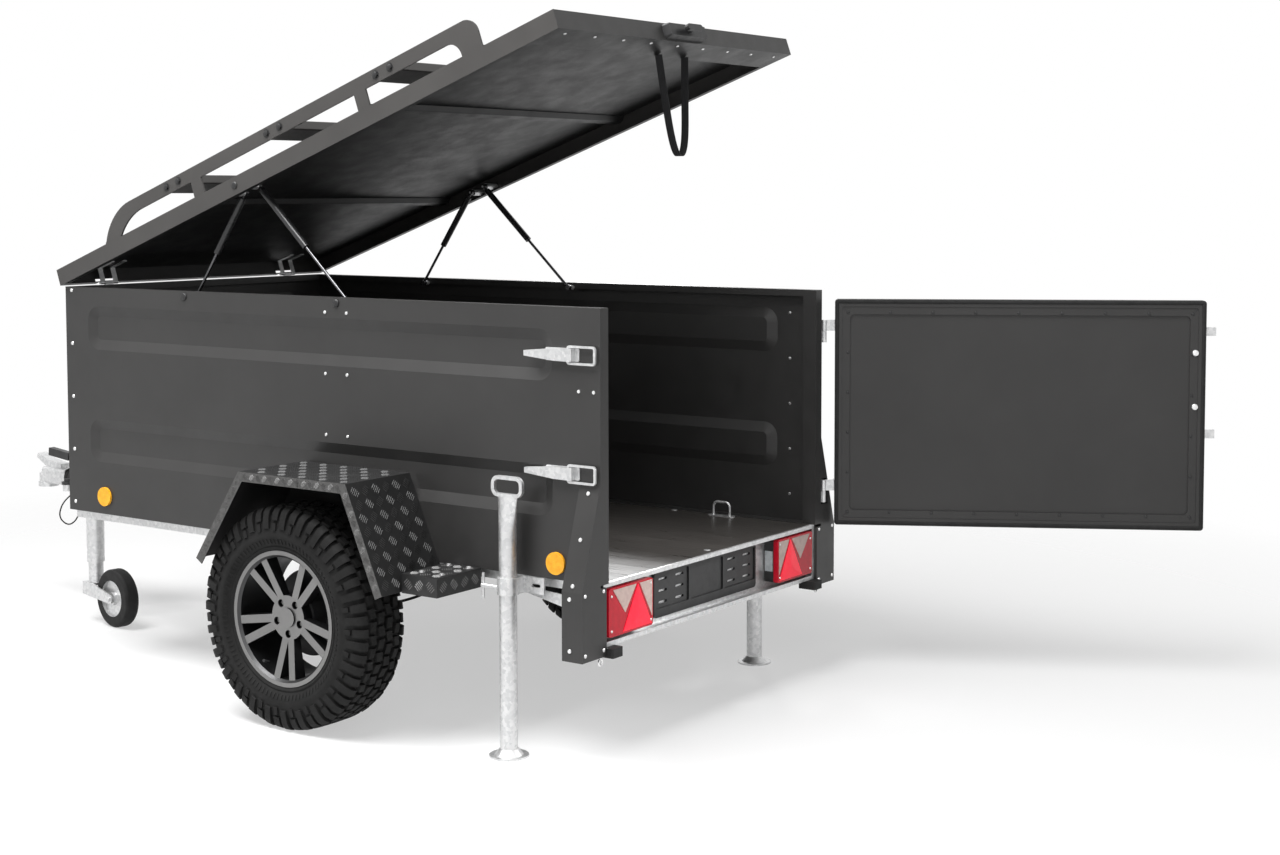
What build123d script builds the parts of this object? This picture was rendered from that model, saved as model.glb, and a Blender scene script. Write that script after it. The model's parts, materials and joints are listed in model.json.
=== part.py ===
"""Off-road box trailer with a front-hinged lid, a side-hinged rear door and roof rails.

Frame: the origin is the centre of the coupling's ball socket, +X is forward along the
drawbar, +Y is left and +Z is up.  All lengths are millimetres.  The trailer is drawn as it
is parked: on its road wheels, jockey wheel and two prop legs, lid raised, rear door open.
"""

import os
from math import cos, radians, sin

from build123d import *

os.makedirs("parts", exist_ok=True)

# Box
BOX_LENGTH = 2115.0
BOX_WIDTH = 1136.0
WALL_BOTTOM = 478.0
WALL_TOP = 1193.0
SHEET = 2.5
RUNNING = 0.1  # radial clearance of pins and rods
TOP_FLANGE = 30.0
TOP_LIP = 20.0
FOOT_FLANGE = 40.0
HALF = BOX_WIDTH / 2
INNER = HALF - SHEET

# Where the frame's origin lies on the trailer
HITCH_REACH = BOX_LENGTH + 845.0  # ball centre ahead of the box's rear edge
HITCH_HEIGHT = 425.0  # ball centre above the road

# Pressed swages in the walls, centre heights above the road
SWAGE_HEIGHTS = (WALL_TOP - 127.0, WALL_BOTTOM + 232.0)
SWAGE_REAR = 155.0  # swages start this far ahead of the rear edge
SWAGE_FRONT = 108.0  # and end this far behind the front wall
SWAGE_LENGTH = BOX_LENGTH - SWAGE_REAR - SWAGE_FRONT
SWAGE_WIDTH = 136.0
SWAGE_MID = SWAGE_REAR + SWAGE_LENGTH / 2
SWAGE_DEPTH = 12.0
SWAGE_TAPER = 69.0
SWAGE_CORNER = 46.0
FRONT_SWAGE_INSET = 118.0

# Rear posts and corner guards
POST_WIDTH = 32.5
POST_DEPTH = 45.0
GUARD_TOP = 742.0
GUARD_SHOULDER = 470.0
GUARD_BOTTOM = 290.0
GUARD_FLARE = 81.0
GUARD_REACH = HALF + GUARD_FLARE
GUARD_DEPTH = 65.0

# Floor and chassis
FLOOR_TOP = WALL_BOTTOM
FLOOR_THICK = 15.0
RAIL_HEIGHT = 60.0
RAIL_FLANGE = 40.0
FLOOR_LOW = FLOOR_TOP - FLOOR_THICK
RAIL_LOW = FLOOR_LOW - RAIL_HEIGHT
RAIL_OUT = 300.0
EDGE_FLANGE = 40.0  # angles that carry the floor's long edges
EDGE_DROP = 28.0
STEEL = 3.0
CROSSBEAM_WIDTH = 40.0
TAIL_INSET = 25.0
TAIL_WIDTH = BOX_WIDTH - 2 * TAIL_INSET
TAIL_BOTTOM = 310.0
TAIL_LIP = 10.0
TAIL_WEB = 58.0
TAIL_RETURN = 12.0
BUFFER_WIDTH = 46.0
BUFFER_HEIGHT = 25.0
BUFFER_PROUD = 20.0
BUFFER_ROUND = 5.0

# Drawbar, overrun unit and coupling
ARM_HEIGHT = 80.0
ARM_LOW = FLOOR_LOW - ARM_HEIGHT
ARM_WIDTH = 40.0
ARM_NOSE = BOX_LENGTH + 545.0
ARM_NOSE_OUT = 86.0
ARM_SPREAD = 0.222  # sideways run of an arm for each unit along the trailer
OVERRUN_TAIL = BOX_LENGTH + 325.0
OVERRUN_LENGTH = 300.0
OVERRUN_NOSE = OVERRUN_TAIL + OVERRUN_LENGTH
OVERRUN_WIDTH = 70.0
OVERRUN_HEIGHT = 80.0
OVERRUN_PLATE = 6.0
BRAKE_PIVOT = OVERRUN_NOSE - 120.0
BRAKE_LENGTH = 264.0
BRAKE_TIP = BRAKE_PIVOT + BRAKE_LENGTH
BRAKE_TIP_HEIGHT = 548.0
SHAFT_HEIGHT = HITCH_HEIGHT + 27.0
BALL_RADIUS = 25.0
SOCKET_WALL = 8.0

# Running gear
WHEEL_PLACE = 928.0
WHEEL_RADIUS = 314.0
WHEEL_STAND = 144.0
WHEEL_OUT = HALF + WHEEL_STAND  # middle of the tyre
TYRE_WIDTH = 195.0
TYRE_BULGE = 0.43  # widest place and shoulder, as shares of the sidewall's height
TYRE_SHOULDER = 0.70
RIM_RADIUS = 178.0
RIM_FLANGE = 12.0
RIM_WIDTH = 150.0
RIM_WALL = 7.0
SPOKE_PAIRS = 5
SPOKE_START = -90.0  # one pair and its bolt point down
SPOKE_WIDTH = 23.0
SPOKE_SPLIT = 10.0
SPOKE_DEPTH = 40.0
WHEEL_DISH = 16.0  # how far the hub lies behind the spokes' outer ends
HUB_RADIUS = 62.0
CAP_RADIUS = 27.0
LUG_CIRCLE = 46.0
LUG_POCKET = 11.0
LUG_BOLT = 7.0
DISC_BACK = 34.0  # back of the spokes, outward of the wheel's middle
DRUM_RADIUS = 122.0
DRUM_WIDTH = 62.0
AXLE_LEAD = 122.0  # trailing arms: the axle lies ahead of the wheels
AXLE_PLACE = WHEEL_PLACE + AXLE_LEAD
AXLE_SIDE = 68.0
AXLE_HEIGHT = RAIL_LOW - AXLE_SIDE / 2
AXLE_INSET = 63.0
AXLE_OUT = HALF - AXLE_INSET
STUB_RADIUS = 17.0
REAR_BEAM_PLACES = (330.0, 640.0)
FRONT_BEAM_PLACES = (AXLE_PLACE + 130.0, AXLE_PLACE + 590.0, BOX_LENGTH - 35.0)

# Mudguards and steps, corner points as distance ahead of the rear edge and height
ARCH_TOP = 2 * WHEEL_RADIUS + 89.0
GUARD_LINE = (
    (WHEEL_PLACE + WHEEL_RADIUS - 3.0, WHEEL_RADIUS + 142.0),
    (WHEEL_PLACE + 135.0, ARCH_TOP),
    (WHEEL_PLACE - 273.0, ARCH_TOP),
    (WHEEL_PLACE - WHEEL_RADIUS - 87.0, WHEEL_RADIUS + 116.0),
)
GUARD_OUT = WHEEL_OUT + TYRE_WIDTH / 2 + 12.5
GUARD_LIP = 27.0
STEP_FRONT = GUARD_LINE[-1][0] - 3.0
STEP_LENGTH = 124.0
STEP_REAR = STEP_FRONT - STEP_LENGTH
STEP_TOP = 480.0
STEP_HEIGHT = 52.0
STEP_OUT = HALF + 180.0

# Lid, measured back from its hinge pin and up from its lower edge
LID_ANGLE = 19.55
LID_HINGE_PLACE = BOX_LENGTH - 5.0
LID_HINGE_HEIGHT = WALL_TOP + 7.5
LID_OVERHANG = 13.5
LID_LENGTH = BOX_LENGTH + 11.0
LID_WIDTH = BOX_WIDTH + 2 * LID_OVERHANG
LID_DEPTH = 52.0
LID_NOSE = 14.0
LID_LIP = 20.0
LID_REAR_LIP = 106.0
LID_RIBS = (650.0, LID_LENGTH - 686.0)
LID_RIB_WIDTH = 46.0
LID_RIB_DEPTH = 13.0
LID_HINGE_OUT = 400.0
LID_HINGE_LENGTH = 70.0
LID_PIN_RADIUS = 3.0
LID_KNUCKLE = 5.8
LID_FIXED_KNUCKLE = 30.0
LID_LEAF_WIDTH = 18.0
LID_LEAF_PLACE = 25.5  # middle of a leaf from the middle of its hinge
LID_LEAF_REACH = 70.0
LID_LEAF_BACK = 3.0

# Roof rails and crossbars, on the lid
RAIL_FRONT = 240.0
RAIL_REAR = LID_LENGTH - 266.0
RAIL_TOP = 142.0
RAIL_BAR = 40.0
RAIL_PLATE = 6.0
RAIL_FACE = LID_WIDTH / 2 - 3.5
RAIL_NOSE_RUN = 150.0
RAIL_GAP_RUN = 120.0
RAIL_TAIL_ROUND = 44.0
RAIL_POST_ROUND = 9.0
RAIL_POSTS = ((672.0, 46.0), (RAIL_REAR - 476.0, 46.0))
RAIL_END_FOOT = 74.0
RAIL_FOOT_DEPTH = 40.0
BAR_PLACES = (RAIL_FRONT + 354.0, RAIL_FRONT + 812.0, RAIL_REAR - 353.0)
BAR_WIDTH = 92.0
BAR_HEIGHT = 28.0
BAR_SLOT = 11.0

# Pull strap: place on the lid, then sideways places of its ends and of its low bends
STRAP_PLACE = LID_LENGTH - 104.0
STRAP_LEFT = 10.0
STRAP_RIGHT = -125.0
STRAP_LOW_LEFT = -64.0
STRAP_LOW_RIGHT = -128.0
STRAP_DROP = 284.0
STRAP_WIDTH = 24.0
STRAP_THICK = 2.0

# Gas struts: name, pin on the lid (back from the hinge), pin on the wall, length of barrel
STRUT_TABLE = (
    ("front", 821.0, BOX_LENGTH - 555.0, 222.0),
    ("rear", 880.0, BOX_LENGTH - 1188.0, 262.0),
)
STRUT_LID_HEIGHT = 16.0
STRUT_WALL_HEIGHT = WALL_TOP - 16.0
STRUT_INSET = 52.0
STRUT_OUT = HALF - STRUT_INSET
STRUT_BARREL = 10.0
STRUT_ROD = 4.5
STRUT_EYE = 9.0
STRUT_PIN = 4.0
STRUT_EYE_THICK = 12.0

# Rear door
DOOR_ANGLE = 118.86
DOOR_PIN_PLACE = 4.0
DOOR_PIN_OUT = HALF + 20.0
DOOR_WIDTH = BOX_WIDTH - 32.0
DOOR_LEFT = HALF - 19.0
DOOR_BOTTOM = FLOOR_TOP - 8.0
DOOR_TOP = WALL_TOP - 30.0
DOOR_GAP = 6.0
DOOR_THICK = 28.0
DOOR_FRAME = 46.0
DOOR_RECESS = 9.0
DOOR_BAND = 22.0  # outer band of the folded frame
DOOR_FOLD = 3.0
DOOR_HINGES = (WALL_TOP - 127.0, FLOOR_TOP + 97.0)
DOOR_HINGE_LENGTH = 68.0
DOOR_PIN_RADIUS = 4.0
HINGE_KNUCKLE = 8.0
HINGE_NOTCH = 38.0
LATCH_HEIGHTS = (WALL_TOP - 123.0, FLOOR_TOP + 284.0)
LATCH_PLACE = 120.0
LATCH_TIP = 236.0
LATCH_BAIL = (92.0, 50.0)
LATCH_WIRE = 6.0

# Prop legs
LEG_PLACE = 268.0
LEG_OUT = HALF + 48.0
LEG_RADIUS = 24.0
LEG_ROUND_TOP = 600.0  # above this the tube is pressed flat
LEG_TOP = 696.0
LEG_FLAT_WIDTH = 66.0
LEG_FLAT_THICK = 13.0
LEG_RING = (104.0, 56.0)
LEG_RING_WIRE = 10.0
LEG_RING_ROUND = 22.0
LEG_FOOT_RADIUS = 53.0
LEG_CLAMP_LENGTH = 45.0
LEG_CLAMP_LOW = FLOOR_TOP - LEG_CLAMP_LENGTH
LEG_CLAMP_WALL = 5.3
LEG_CLAMP_BLOCK = 44.0
BRACKET_LENGTH = 150.0
BRACKET_HEIGHT = 44.0
BRACKET_PLATE = 6.0
BRACKET_SHIFT = 12.0
BRACKET_SLOT = (30.0, 10.0)
BRACKET_SLOT_PITCH = 96.0
BRACE_PLATE = 4.0
BRACE_TAIL = 40.0
SCREW_RADIUS = 6.0
SCREW_LENGTH = 62.0
SCREW_BAR_RADIUS = 4.0
SCREW_BAR_LENGTH = 68.0

# Jockey wheel
JOCKEY_PLACE = BOX_LENGTH + 349.0
JOCKEY_OUT = 190.0
JOCKEY_OUTER = 30.0
JOCKEY_INNER = 25.0
JOCKEY_TOP = 650.0
JOCKEY_SLEEVE_BOTTOM = 210.0
JOCKEY_TUBE_BOTTOM = 140.0
JOCKEY_TURN = 8.0  # the caster stands a little to the left
JOCKEY_TRAIL = 136.0
JOCKEY_RADIUS = 100.0
JOCKEY_WIDTH = 50.0
JOCKEY_RIM_RADIUS = 62.0
JOCKEY_AXLE = 8.0
JOCKEY_ARM = 42.0
JOCKEY_ARM_PLATE = 5.0
JOCKEY_OVERLAP = 240.0  # inner tube's length inside the sleeve
JOCKEY_CLAMP_LENGTH = 60.0
JOCKEY_CLAMP_WALL = 6.0
JOCKEY_CLAMP_HALF = 22.0
JOCKEY_CAP = 10.0
CRANK_THROW = 100.0
CRANK_WIDTH = 18.0
CRANK_PLATE = 8.0
CRANK_SPINDLE = 8.0
CRANK_RISE = 26.0
CRANK_GRIP_RADIUS = 10.0
CRANK_GRIP_LENGTH = 70.0

# Lamps and plate holder
LAMP_WIDTH = 200.0
LAMP_OUT = TAIL_WIDTH / 2 - 18.0
LAMP_IN = LAMP_OUT - LAMP_WIDTH
LAMP_BOTTOM = TAIL_BOTTOM + 22.0
LAMP_TOP = FLOOR_TOP - 18.0
LENS_DEPTH = 12.0
PLATE_GAP = 62.5  # from a lamp to the plate holder
PLATE_WIDTH = 2 * (LAMP_IN - PLATE_GAP)
PLATE_HEIGHT = 125.0
PLATE_MID = 392.0
PLATE_BACK = 6.0
PLATE_RIM = 6.0
PLATE_RISE = 4.0
PLATE_STRIP = 24.0  # lower strip of the holder
PLATE_RIB = 9.0
PLATE_RIB_OUT = 88.0
PLATE_SLOT = (40.0, 7.0)
REFLECTORS = ((BOX_LENGTH - 175.0, FLOOR_TOP + 56.0), (144.0, FLOOR_TOP + 43.0))
REFLECTOR_RADIUS = 30.0

# Lashing loops: distance ahead of the rear edge
LOOP_PLACES = (320.0, 1060.0, BOX_LENGTH - 315.0)
LOOP_OUT = HALF - 63.0
LOOP_SPAN = 60.0
LOOP_RISE = 45.0
LOOP_WIRE = 4.0


def fwd(distance):
    """Frame x of a place given as its distance ahead of the box's rear edge."""
    return distance - HITCH_REACH


def up(height):
    """Frame z of a place given as its height above the road."""
    return height - HITCH_HEIGHT


def save(piece, name):
    piece.part.label = name
    export_step(piece.part, f"parts/{name}.step")


def level(height):
    return Plane.XY.offset(up(height))


def across(distance):
    """Plane facing forward; its local x is frame y and its local y is frame z."""
    return Plane(origin=(fwd(distance), 0, 0), x_dir=(0, 1, 0), z_dir=(1, 0, 0))


def along(out):
    """Plane facing right at frame y; its local x is frame x and its local y is frame z."""
    return Plane(origin=(0, out, 0), x_dir=(1, 0, 0), z_dir=(0, -1, 0))


ARM_TAIL = AXLE_PLACE + AXLE_SIDE / 2
SIDES = (("left", 1), ("right", -1))


def arm_out(distance):
    """Sideways place of a drawbar arm's outer face."""
    return ARM_NOSE_OUT + ARM_SPREAD * (ARM_NOSE - distance)


# Side walls: folded sheet with two swages pressed inward
with BuildPart() as side_panel_left:
    with BuildSketch(across(0)):
        with BuildLine():
            Polyline(
                (HALF, up(WALL_BOTTOM)),
                (HALF, up(WALL_TOP)),
                (HALF - TOP_FLANGE, up(WALL_TOP)),
                (HALF - TOP_FLANGE, up(WALL_TOP - TOP_LIP)),
                (HALF - TOP_FLANGE + SHEET, up(WALL_TOP - TOP_LIP)),
                (HALF - TOP_FLANGE + SHEET, up(WALL_TOP - SHEET)),
                (INNER, up(WALL_TOP - SHEET)),
                (INNER, up(WALL_BOTTOM + SHEET)),
                (HALF - FOOT_FLANGE, up(WALL_BOTTOM + SHEET)),
                (HALF - FOOT_FLANGE, up(WALL_BOTTOM)),
                close=True,
            )
        make_face()
    extrude(amount=BOX_LENGTH - SHEET)
    for height in SWAGE_HEIGHTS:
        with BuildSketch(
            Plane(origin=(fwd(SWAGE_MID), INNER, up(height)), x_dir=(1, 0, 0), z_dir=(0, -1, 0))
        ):
            RectangleRounded(SWAGE_LENGTH, SWAGE_WIDTH, SWAGE_CORNER)
        extrude(amount=SWAGE_DEPTH, taper=SWAGE_TAPER)
    for height in SWAGE_HEIGHTS:
        with BuildSketch(
            Plane(origin=(fwd(SWAGE_MID), HALF, up(height)), x_dir=(1, 0, 0), z_dir=(0, -1, 0))
        ):
            RectangleRounded(SWAGE_LENGTH, SWAGE_WIDTH, SWAGE_CORNER)
        extrude(amount=SWAGE_DEPTH, taper=SWAGE_TAPER, mode=Mode.SUBTRACT)
    # the flanges stop where the rear post takes over
    with BuildSketch(level(WALL_BOTTOM)):
        with Locations((fwd(POST_DEPTH / 2), INNER - FOOT_FLANGE / 2)):
            Rectangle(POST_DEPTH, FOOT_FLANGE)
    extrude(amount=WALL_TOP - WALL_BOTTOM, mode=Mode.SUBTRACT)
save(side_panel_left, "side_panel_left")

with BuildPart() as side_panel_right:
    mirror(side_panel_left.part, about=Plane.XZ)
save(side_panel_right, "side_panel_right")

# Front wall, between the side walls' flanges at the top
front_swage = BOX_WIDTH - 2 * FRONT_SWAGE_INSET
with BuildPart() as front_panel:
    with BuildSketch(across(BOX_LENGTH - SHEET)):
        with Locations((0, up((WALL_TOP + WALL_BOTTOM) / 2))):
            Rectangle(BOX_WIDTH, WALL_TOP - WALL_BOTTOM)
    extrude(amount=SHEET)
    with BuildSketch(along(HALF - TOP_FLANGE)):
        with BuildLine():
            Polyline(
                (fwd(BOX_LENGTH - SHEET), up(WALL_TOP)),
                (fwd(BOX_LENGTH - TOP_FLANGE), up(WALL_TOP)),
                (fwd(BOX_LENGTH - TOP_FLANGE), up(WALL_TOP - TOP_LIP)),
                (fwd(BOX_LENGTH - TOP_FLANGE + SHEET), up(WALL_TOP - TOP_LIP)),
                (fwd(BOX_LENGTH - TOP_FLANGE + SHEET), up(WALL_TOP - SHEET)),
                (fwd(BOX_LENGTH - SHEET), up(WALL_TOP - SHEET)),
                close=True,
            )
        make_face()
    extrude(amount=2 * (HALF - TOP_FLANGE))
    for height in SWAGE_HEIGHTS:
        with BuildSketch(
            Plane(
                origin=(fwd(BOX_LENGTH - SHEET), 0, up(height)), x_dir=(0, -1, 0), z_dir=(-1, 0, 0)
            )
        ):
            RectangleRounded(front_swage, SWAGE_WIDTH, SWAGE_CORNER)
        extrude(amount=SWAGE_DEPTH, taper=SWAGE_TAPER)
    for height in SWAGE_HEIGHTS:
        with BuildSketch(
            Plane(origin=(fwd(BOX_LENGTH), 0, up(height)), x_dir=(0, -1, 0), z_dir=(-1, 0, 0))
        ):
            RectangleRounded(front_swage, SWAGE_WIDTH, SWAGE_CORNER)
        extrude(amount=SWAGE_DEPTH, taper=SWAGE_TAPER, mode=Mode.SUBTRACT)
save(front_panel, "front_panel")

# Rear posts: square folded tubes behind the side walls' rear edges
with BuildPart() as rear_posts:
    with BuildSketch(level(WALL_BOTTOM)):
        with Locations((fwd(POST_DEPTH / 2), INNER - POST_WIDTH / 2)):
            Rectangle(POST_DEPTH, POST_WIDTH)
    extrude(amount=WALL_TOP - WALL_BOTTOM)
    with BuildSketch(level(WALL_BOTTOM)):
        with Locations((fwd(POST_DEPTH / 2), INNER - POST_WIDTH / 2)):
            Rectangle(POST_DEPTH - 2 * SHEET, POST_WIDTH - 2 * SHEET)
    extrude(amount=WALL_TOP - WALL_BOTTOM - SHEET, mode=Mode.SUBTRACT)
    mirror(about=Plane.XZ)
save(rear_posts, "rear_posts")

# Corner guards: fairings that widen downward, open to the front
with BuildPart() as corner_guards:
    with BuildSketch(across(0)) as guard_face:
        with BuildLine():
            Polyline(
                (TAIL_WIDTH / 2, up(GUARD_BOTTOM)),
                (GUARD_REACH, up(GUARD_BOTTOM)),
                (GUARD_REACH, up(GUARD_SHOULDER)),
                (HALF, up(GUARD_TOP)),
                (HALF, up(GUARD_SHOULDER)),
                (TAIL_WIDTH / 2, up(GUARD_SHOULDER)),
                close=True,
            )
        make_face()
    extrude(amount=GUARD_DEPTH)
    with BuildSketch(across(SHEET)):
        add(guard_face.sketch_local)
        offset(amount=-SHEET, kind=Kind.INTERSECTION, mode=Mode.REPLACE)
    extrude(amount=GUARD_DEPTH, mode=Mode.SUBTRACT)
    mirror(about=Plane.XZ)
    # notch for the door's lower hinge in the right guard
    with BuildSketch(across(0)):
        with Locations((-HALF - HINGE_NOTCH / 2, up(DOOR_HINGES[1]))):
            Rectangle(HINGE_NOTCH, DOOR_HINGE_LENGTH + 12)
    extrude(amount=GUARD_DEPTH + 20, mode=Mode.SUBTRACT)
save(corner_guards, "corner_guards")

# Rubber buffers under the ends of the rear cross-member, proud of it to the rear
with BuildPart() as buffers:
    with BuildSketch(level(TAIL_BOTTOM)):
        with Locations((fwd(TAIL_WEB / 2 - BUFFER_PROUD), (TAIL_WIDTH - BUFFER_WIDTH) / 2)):
            RectangleRounded(TAIL_WEB, BUFFER_WIDTH, BUFFER_ROUND)
    extrude(amount=-BUFFER_HEIGHT)
    mirror(about=Plane.XZ)
save(buffers, "buffers")

# Galvanised rear cross-member: a channel open to the rear that takes the lamps
with BuildPart() as rear_crossmember:
    with BuildSketch(along(TAIL_WIDTH / 2)):
        with BuildLine():
            Polyline(
                (fwd(TAIL_LIP), up(FLOOR_TOP - TAIL_RETURN)),
                (fwd(TAIL_LIP), up(FLOOR_TOP)),
                (fwd(TAIL_WEB), up(FLOOR_TOP)),
                (fwd(TAIL_WEB), up(TAIL_BOTTOM)),
                (fwd(TAIL_LIP), up(TAIL_BOTTOM)),
                (fwd(TAIL_LIP), up(TAIL_BOTTOM + TAIL_RETURN)),
                (fwd(TAIL_LIP + STEEL), up(TAIL_BOTTOM + TAIL_RETURN)),
                (fwd(TAIL_LIP + STEEL), up(TAIL_BOTTOM + STEEL)),
                (fwd(TAIL_WEB - STEEL), up(TAIL_BOTTOM + STEEL)),
                (fwd(TAIL_WEB - STEEL), up(FLOOR_TOP - STEEL)),
                (fwd(TAIL_LIP + STEEL), up(FLOOR_TOP - STEEL)),
                (fwd(TAIL_LIP + STEEL), up(FLOOR_TOP - TAIL_RETURN)),
                close=True,
            )
        make_face()
    extrude(amount=TAIL_WIDTH)
    tail_height = FLOOR_TOP - TAIL_BOTTOM
    with BuildSketch(across(TAIL_LIP)):
        with Locations((0, up(TAIL_BOTTOM + tail_height / 2))):
            Rectangle(TAIL_WIDTH, tail_height)
            Rectangle(TAIL_WIDTH - 2 * TAIL_RETURN, tail_height - 2 * TAIL_RETURN, mode=Mode.SUBTRACT)
    extrude(amount=STEEL)
    for sign in (-1, 1):
        with BuildSketch(across(TAIL_LIP)):
            with Locations((sign * (TAIL_WIDTH - STEEL) / 2, up(TAIL_BOTTOM + tail_height / 2))):
                Rectangle(STEEL, tail_height)
        extrude(amount=TAIL_WEB - TAIL_LIP)
save(rear_crossmember, "rear_crossmember")

# Floor board
with BuildPart() as floor_board:
    with BuildSketch(level(FLOOR_LOW)):
        with Locations((fwd((TAIL_WEB + BOX_LENGTH - SHEET) / 2), 0)):
            Rectangle(BOX_LENGTH - SHEET - TAIL_WEB, TAIL_WIDTH - 2 * STEEL)
    extrude(amount=FLOOR_THICK)
save(floor_board, "floor_board")

# Rails of the floor frame: two channels behind the axle, and angles under the floor's edges
MAIN_BEAM = FRONT_BEAM_PLACES[0]
with BuildPart() as frame_rails:
    with BuildSketch(across(TAIL_WEB)):
        with BuildLine():
            Polyline(
                (RAIL_OUT, up(FLOOR_LOW)),
                (RAIL_OUT, up(RAIL_LOW)),
                (RAIL_OUT - RAIL_FLANGE, up(RAIL_LOW)),
                (RAIL_OUT - RAIL_FLANGE, up(RAIL_LOW + STEEL)),
                (RAIL_OUT - STEEL, up(RAIL_LOW + STEEL)),
                (RAIL_OUT - STEEL, up(FLOOR_LOW - STEEL)),
                (RAIL_OUT - RAIL_FLANGE, up(FLOOR_LOW - STEEL)),
                (RAIL_OUT - RAIL_FLANGE, up(FLOOR_LOW)),
                close=True,
            )
        make_face()
    extrude(amount=MAIN_BEAM - CROSSBEAM_WIDTH / 2 - TAIL_WEB)
    floor_edge = TAIL_WIDTH / 2
    with BuildSketch(across(TAIL_WEB)):
        with BuildLine():
            Polyline(
                (floor_edge, up(FLOOR_TOP)),
                (floor_edge, up(FLOOR_TOP - EDGE_DROP)),
                (floor_edge - STEEL, up(FLOOR_TOP - EDGE_DROP)),
                (floor_edge - STEEL, up(FLOOR_LOW - STEEL)),
                (floor_edge - EDGE_FLANGE, up(FLOOR_LOW - STEEL)),
                (floor_edge - EDGE_FLANGE, up(FLOOR_LOW)),
                (floor_edge - STEEL, up(FLOOR_LOW)),
                (floor_edge - STEEL, up(FLOOR_TOP)),
                close=True,
            )
        make_face()
    extrude(amount=BOX_LENGTH - SHEET - TAIL_WEB)
    mirror(about=Plane.XZ)
save(frame_rails, "frame_rails")

# Cross-beams: behind the axle between the rails, ahead of it between the drawbar's arms
beam_table = [(place, RAIL_OUT - RAIL_FLANGE) for place in REAR_BEAM_PLACES]
for place in FRONT_BEAM_PLACES:
    beam_table.append((place, arm_out(place + CROSSBEAM_WIDTH / 2) - ARM_WIDTH))
with BuildPart() as cross_beams:
    for place, reach in beam_table:
        with BuildSketch(along(reach)):
            with Locations((fwd(place), up(FLOOR_LOW - RAIL_HEIGHT / 2))):
                Rectangle(CROSSBEAM_WIDTH, RAIL_HEIGHT)
                Rectangle(CROSSBEAM_WIDTH - 2 * STEEL, RAIL_HEIGHT - 2 * STEEL, mode=Mode.SUBTRACT)
        extrude(amount=2 * reach)
save(cross_beams, "cross_beams")

# Drawbar arms: two channels from the axle to the overrun unit, open to the inside
with BuildPart() as drawbar_arms:
    with BuildSketch(level(ARM_LOW)):
        with BuildLine():
            Polyline(
                (fwd(ARM_TAIL), arm_out(ARM_TAIL)),
                (fwd(ARM_NOSE), arm_out(ARM_NOSE)),
                (fwd(ARM_NOSE), arm_out(ARM_NOSE) - ARM_WIDTH),
                (fwd(ARM_TAIL), arm_out(ARM_TAIL) - ARM_WIDTH),
                close=True,
            )
        make_face()
    extrude(amount=ARM_HEIGHT)
    with BuildSketch(level(ARM_LOW + STEEL)):
        with BuildLine():
            Polyline(
                (fwd(ARM_TAIL), arm_out(ARM_TAIL) - STEEL),
                (fwd(ARM_NOSE), arm_out(ARM_NOSE) - STEEL),
                (fwd(ARM_NOSE), arm_out(ARM_NOSE) - ARM_WIDTH),
                (fwd(ARM_TAIL), arm_out(ARM_TAIL) - ARM_WIDTH),
                close=True,
            )
        make_face()
    extrude(amount=ARM_HEIGHT - 2 * STEEL, mode=Mode.SUBTRACT)
    mirror(about=Plane.XZ)
save(drawbar_arms, "drawbar_arms")

# Overrun unit: housing between the arms, hung from a plate that lies on them
OVERRUN_LOW = SHAFT_HEIGHT - OVERRUN_HEIGHT / 2
with BuildPart() as overrun_body:
    with BuildSketch(level(OVERRUN_LOW)):
        with BuildLine():
            Polyline(
                (fwd(OVERRUN_TAIL), OVERRUN_WIDTH / 2),
                (fwd(OVERRUN_TAIL), -OVERRUN_WIDTH / 2),
                (fwd(OVERRUN_NOSE), -OVERRUN_WIDTH / 2),
                (fwd(OVERRUN_NOSE), OVERRUN_WIDTH / 2),
                close=True,
            )
        make_face()
    extrude(amount=OVERRUN_HEIGHT)
    fillet(overrun_body.edges().filter_by(Axis.X), radius=12)
    with BuildSketch(level(FLOOR_LOW)):
        with BuildLine():
            Polyline(
                (fwd(OVERRUN_TAIL), arm_out(OVERRUN_TAIL)),
                (fwd(ARM_NOSE), arm_out(ARM_NOSE)),
                (fwd(ARM_NOSE), -arm_out(ARM_NOSE)),
                (fwd(OVERRUN_TAIL), -arm_out(OVERRUN_TAIL)),
                close=True,
            )
        make_face()
    extrude(amount=OVERRUN_PLATE)
save(overrun_body, "overrun_body")

# Handbrake lever beside the overrun unit, released, with its grip
BRAKE_OUT = OVERRUN_WIDTH / 2
BRAKE_BOSS = 22.0
BRAKE_HEIGHT = FLOOR_LOW + OVERRUN_PLATE + BRAKE_BOSS + 0.2
with BuildPart() as handbrake_lever:
    with BuildSketch(along(BRAKE_OUT + 14)):
        with Locations((fwd(BRAKE_PIVOT), up(BRAKE_HEIGHT))):
            Circle(BRAKE_BOSS)
    extrude(amount=14)
    with BuildSketch(along(BRAKE_OUT + 14)):
        with BuildLine():
            Polyline(
                (fwd(BRAKE_PIVOT), up(BRAKE_HEIGHT)),
                (fwd(BRAKE_PIVOT + 90), up(BRAKE_HEIGHT + 30)),
                (fwd(BRAKE_TIP), up(BRAKE_TIP_HEIGHT)),
            )
        trace(line_width=16)
    extrude(amount=8)
    with BuildSketch(along(BRAKE_OUT + 22)):
        with BuildLine():
            Line((fwd(BRAKE_TIP - 110), up(BRAKE_TIP_HEIGHT - 12)), (fwd(BRAKE_TIP), up(BRAKE_TIP_HEIGHT)))
        trace(line_width=28)
    extrude(amount=24)
save(handbrake_lever, "handbrake_lever")

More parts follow.
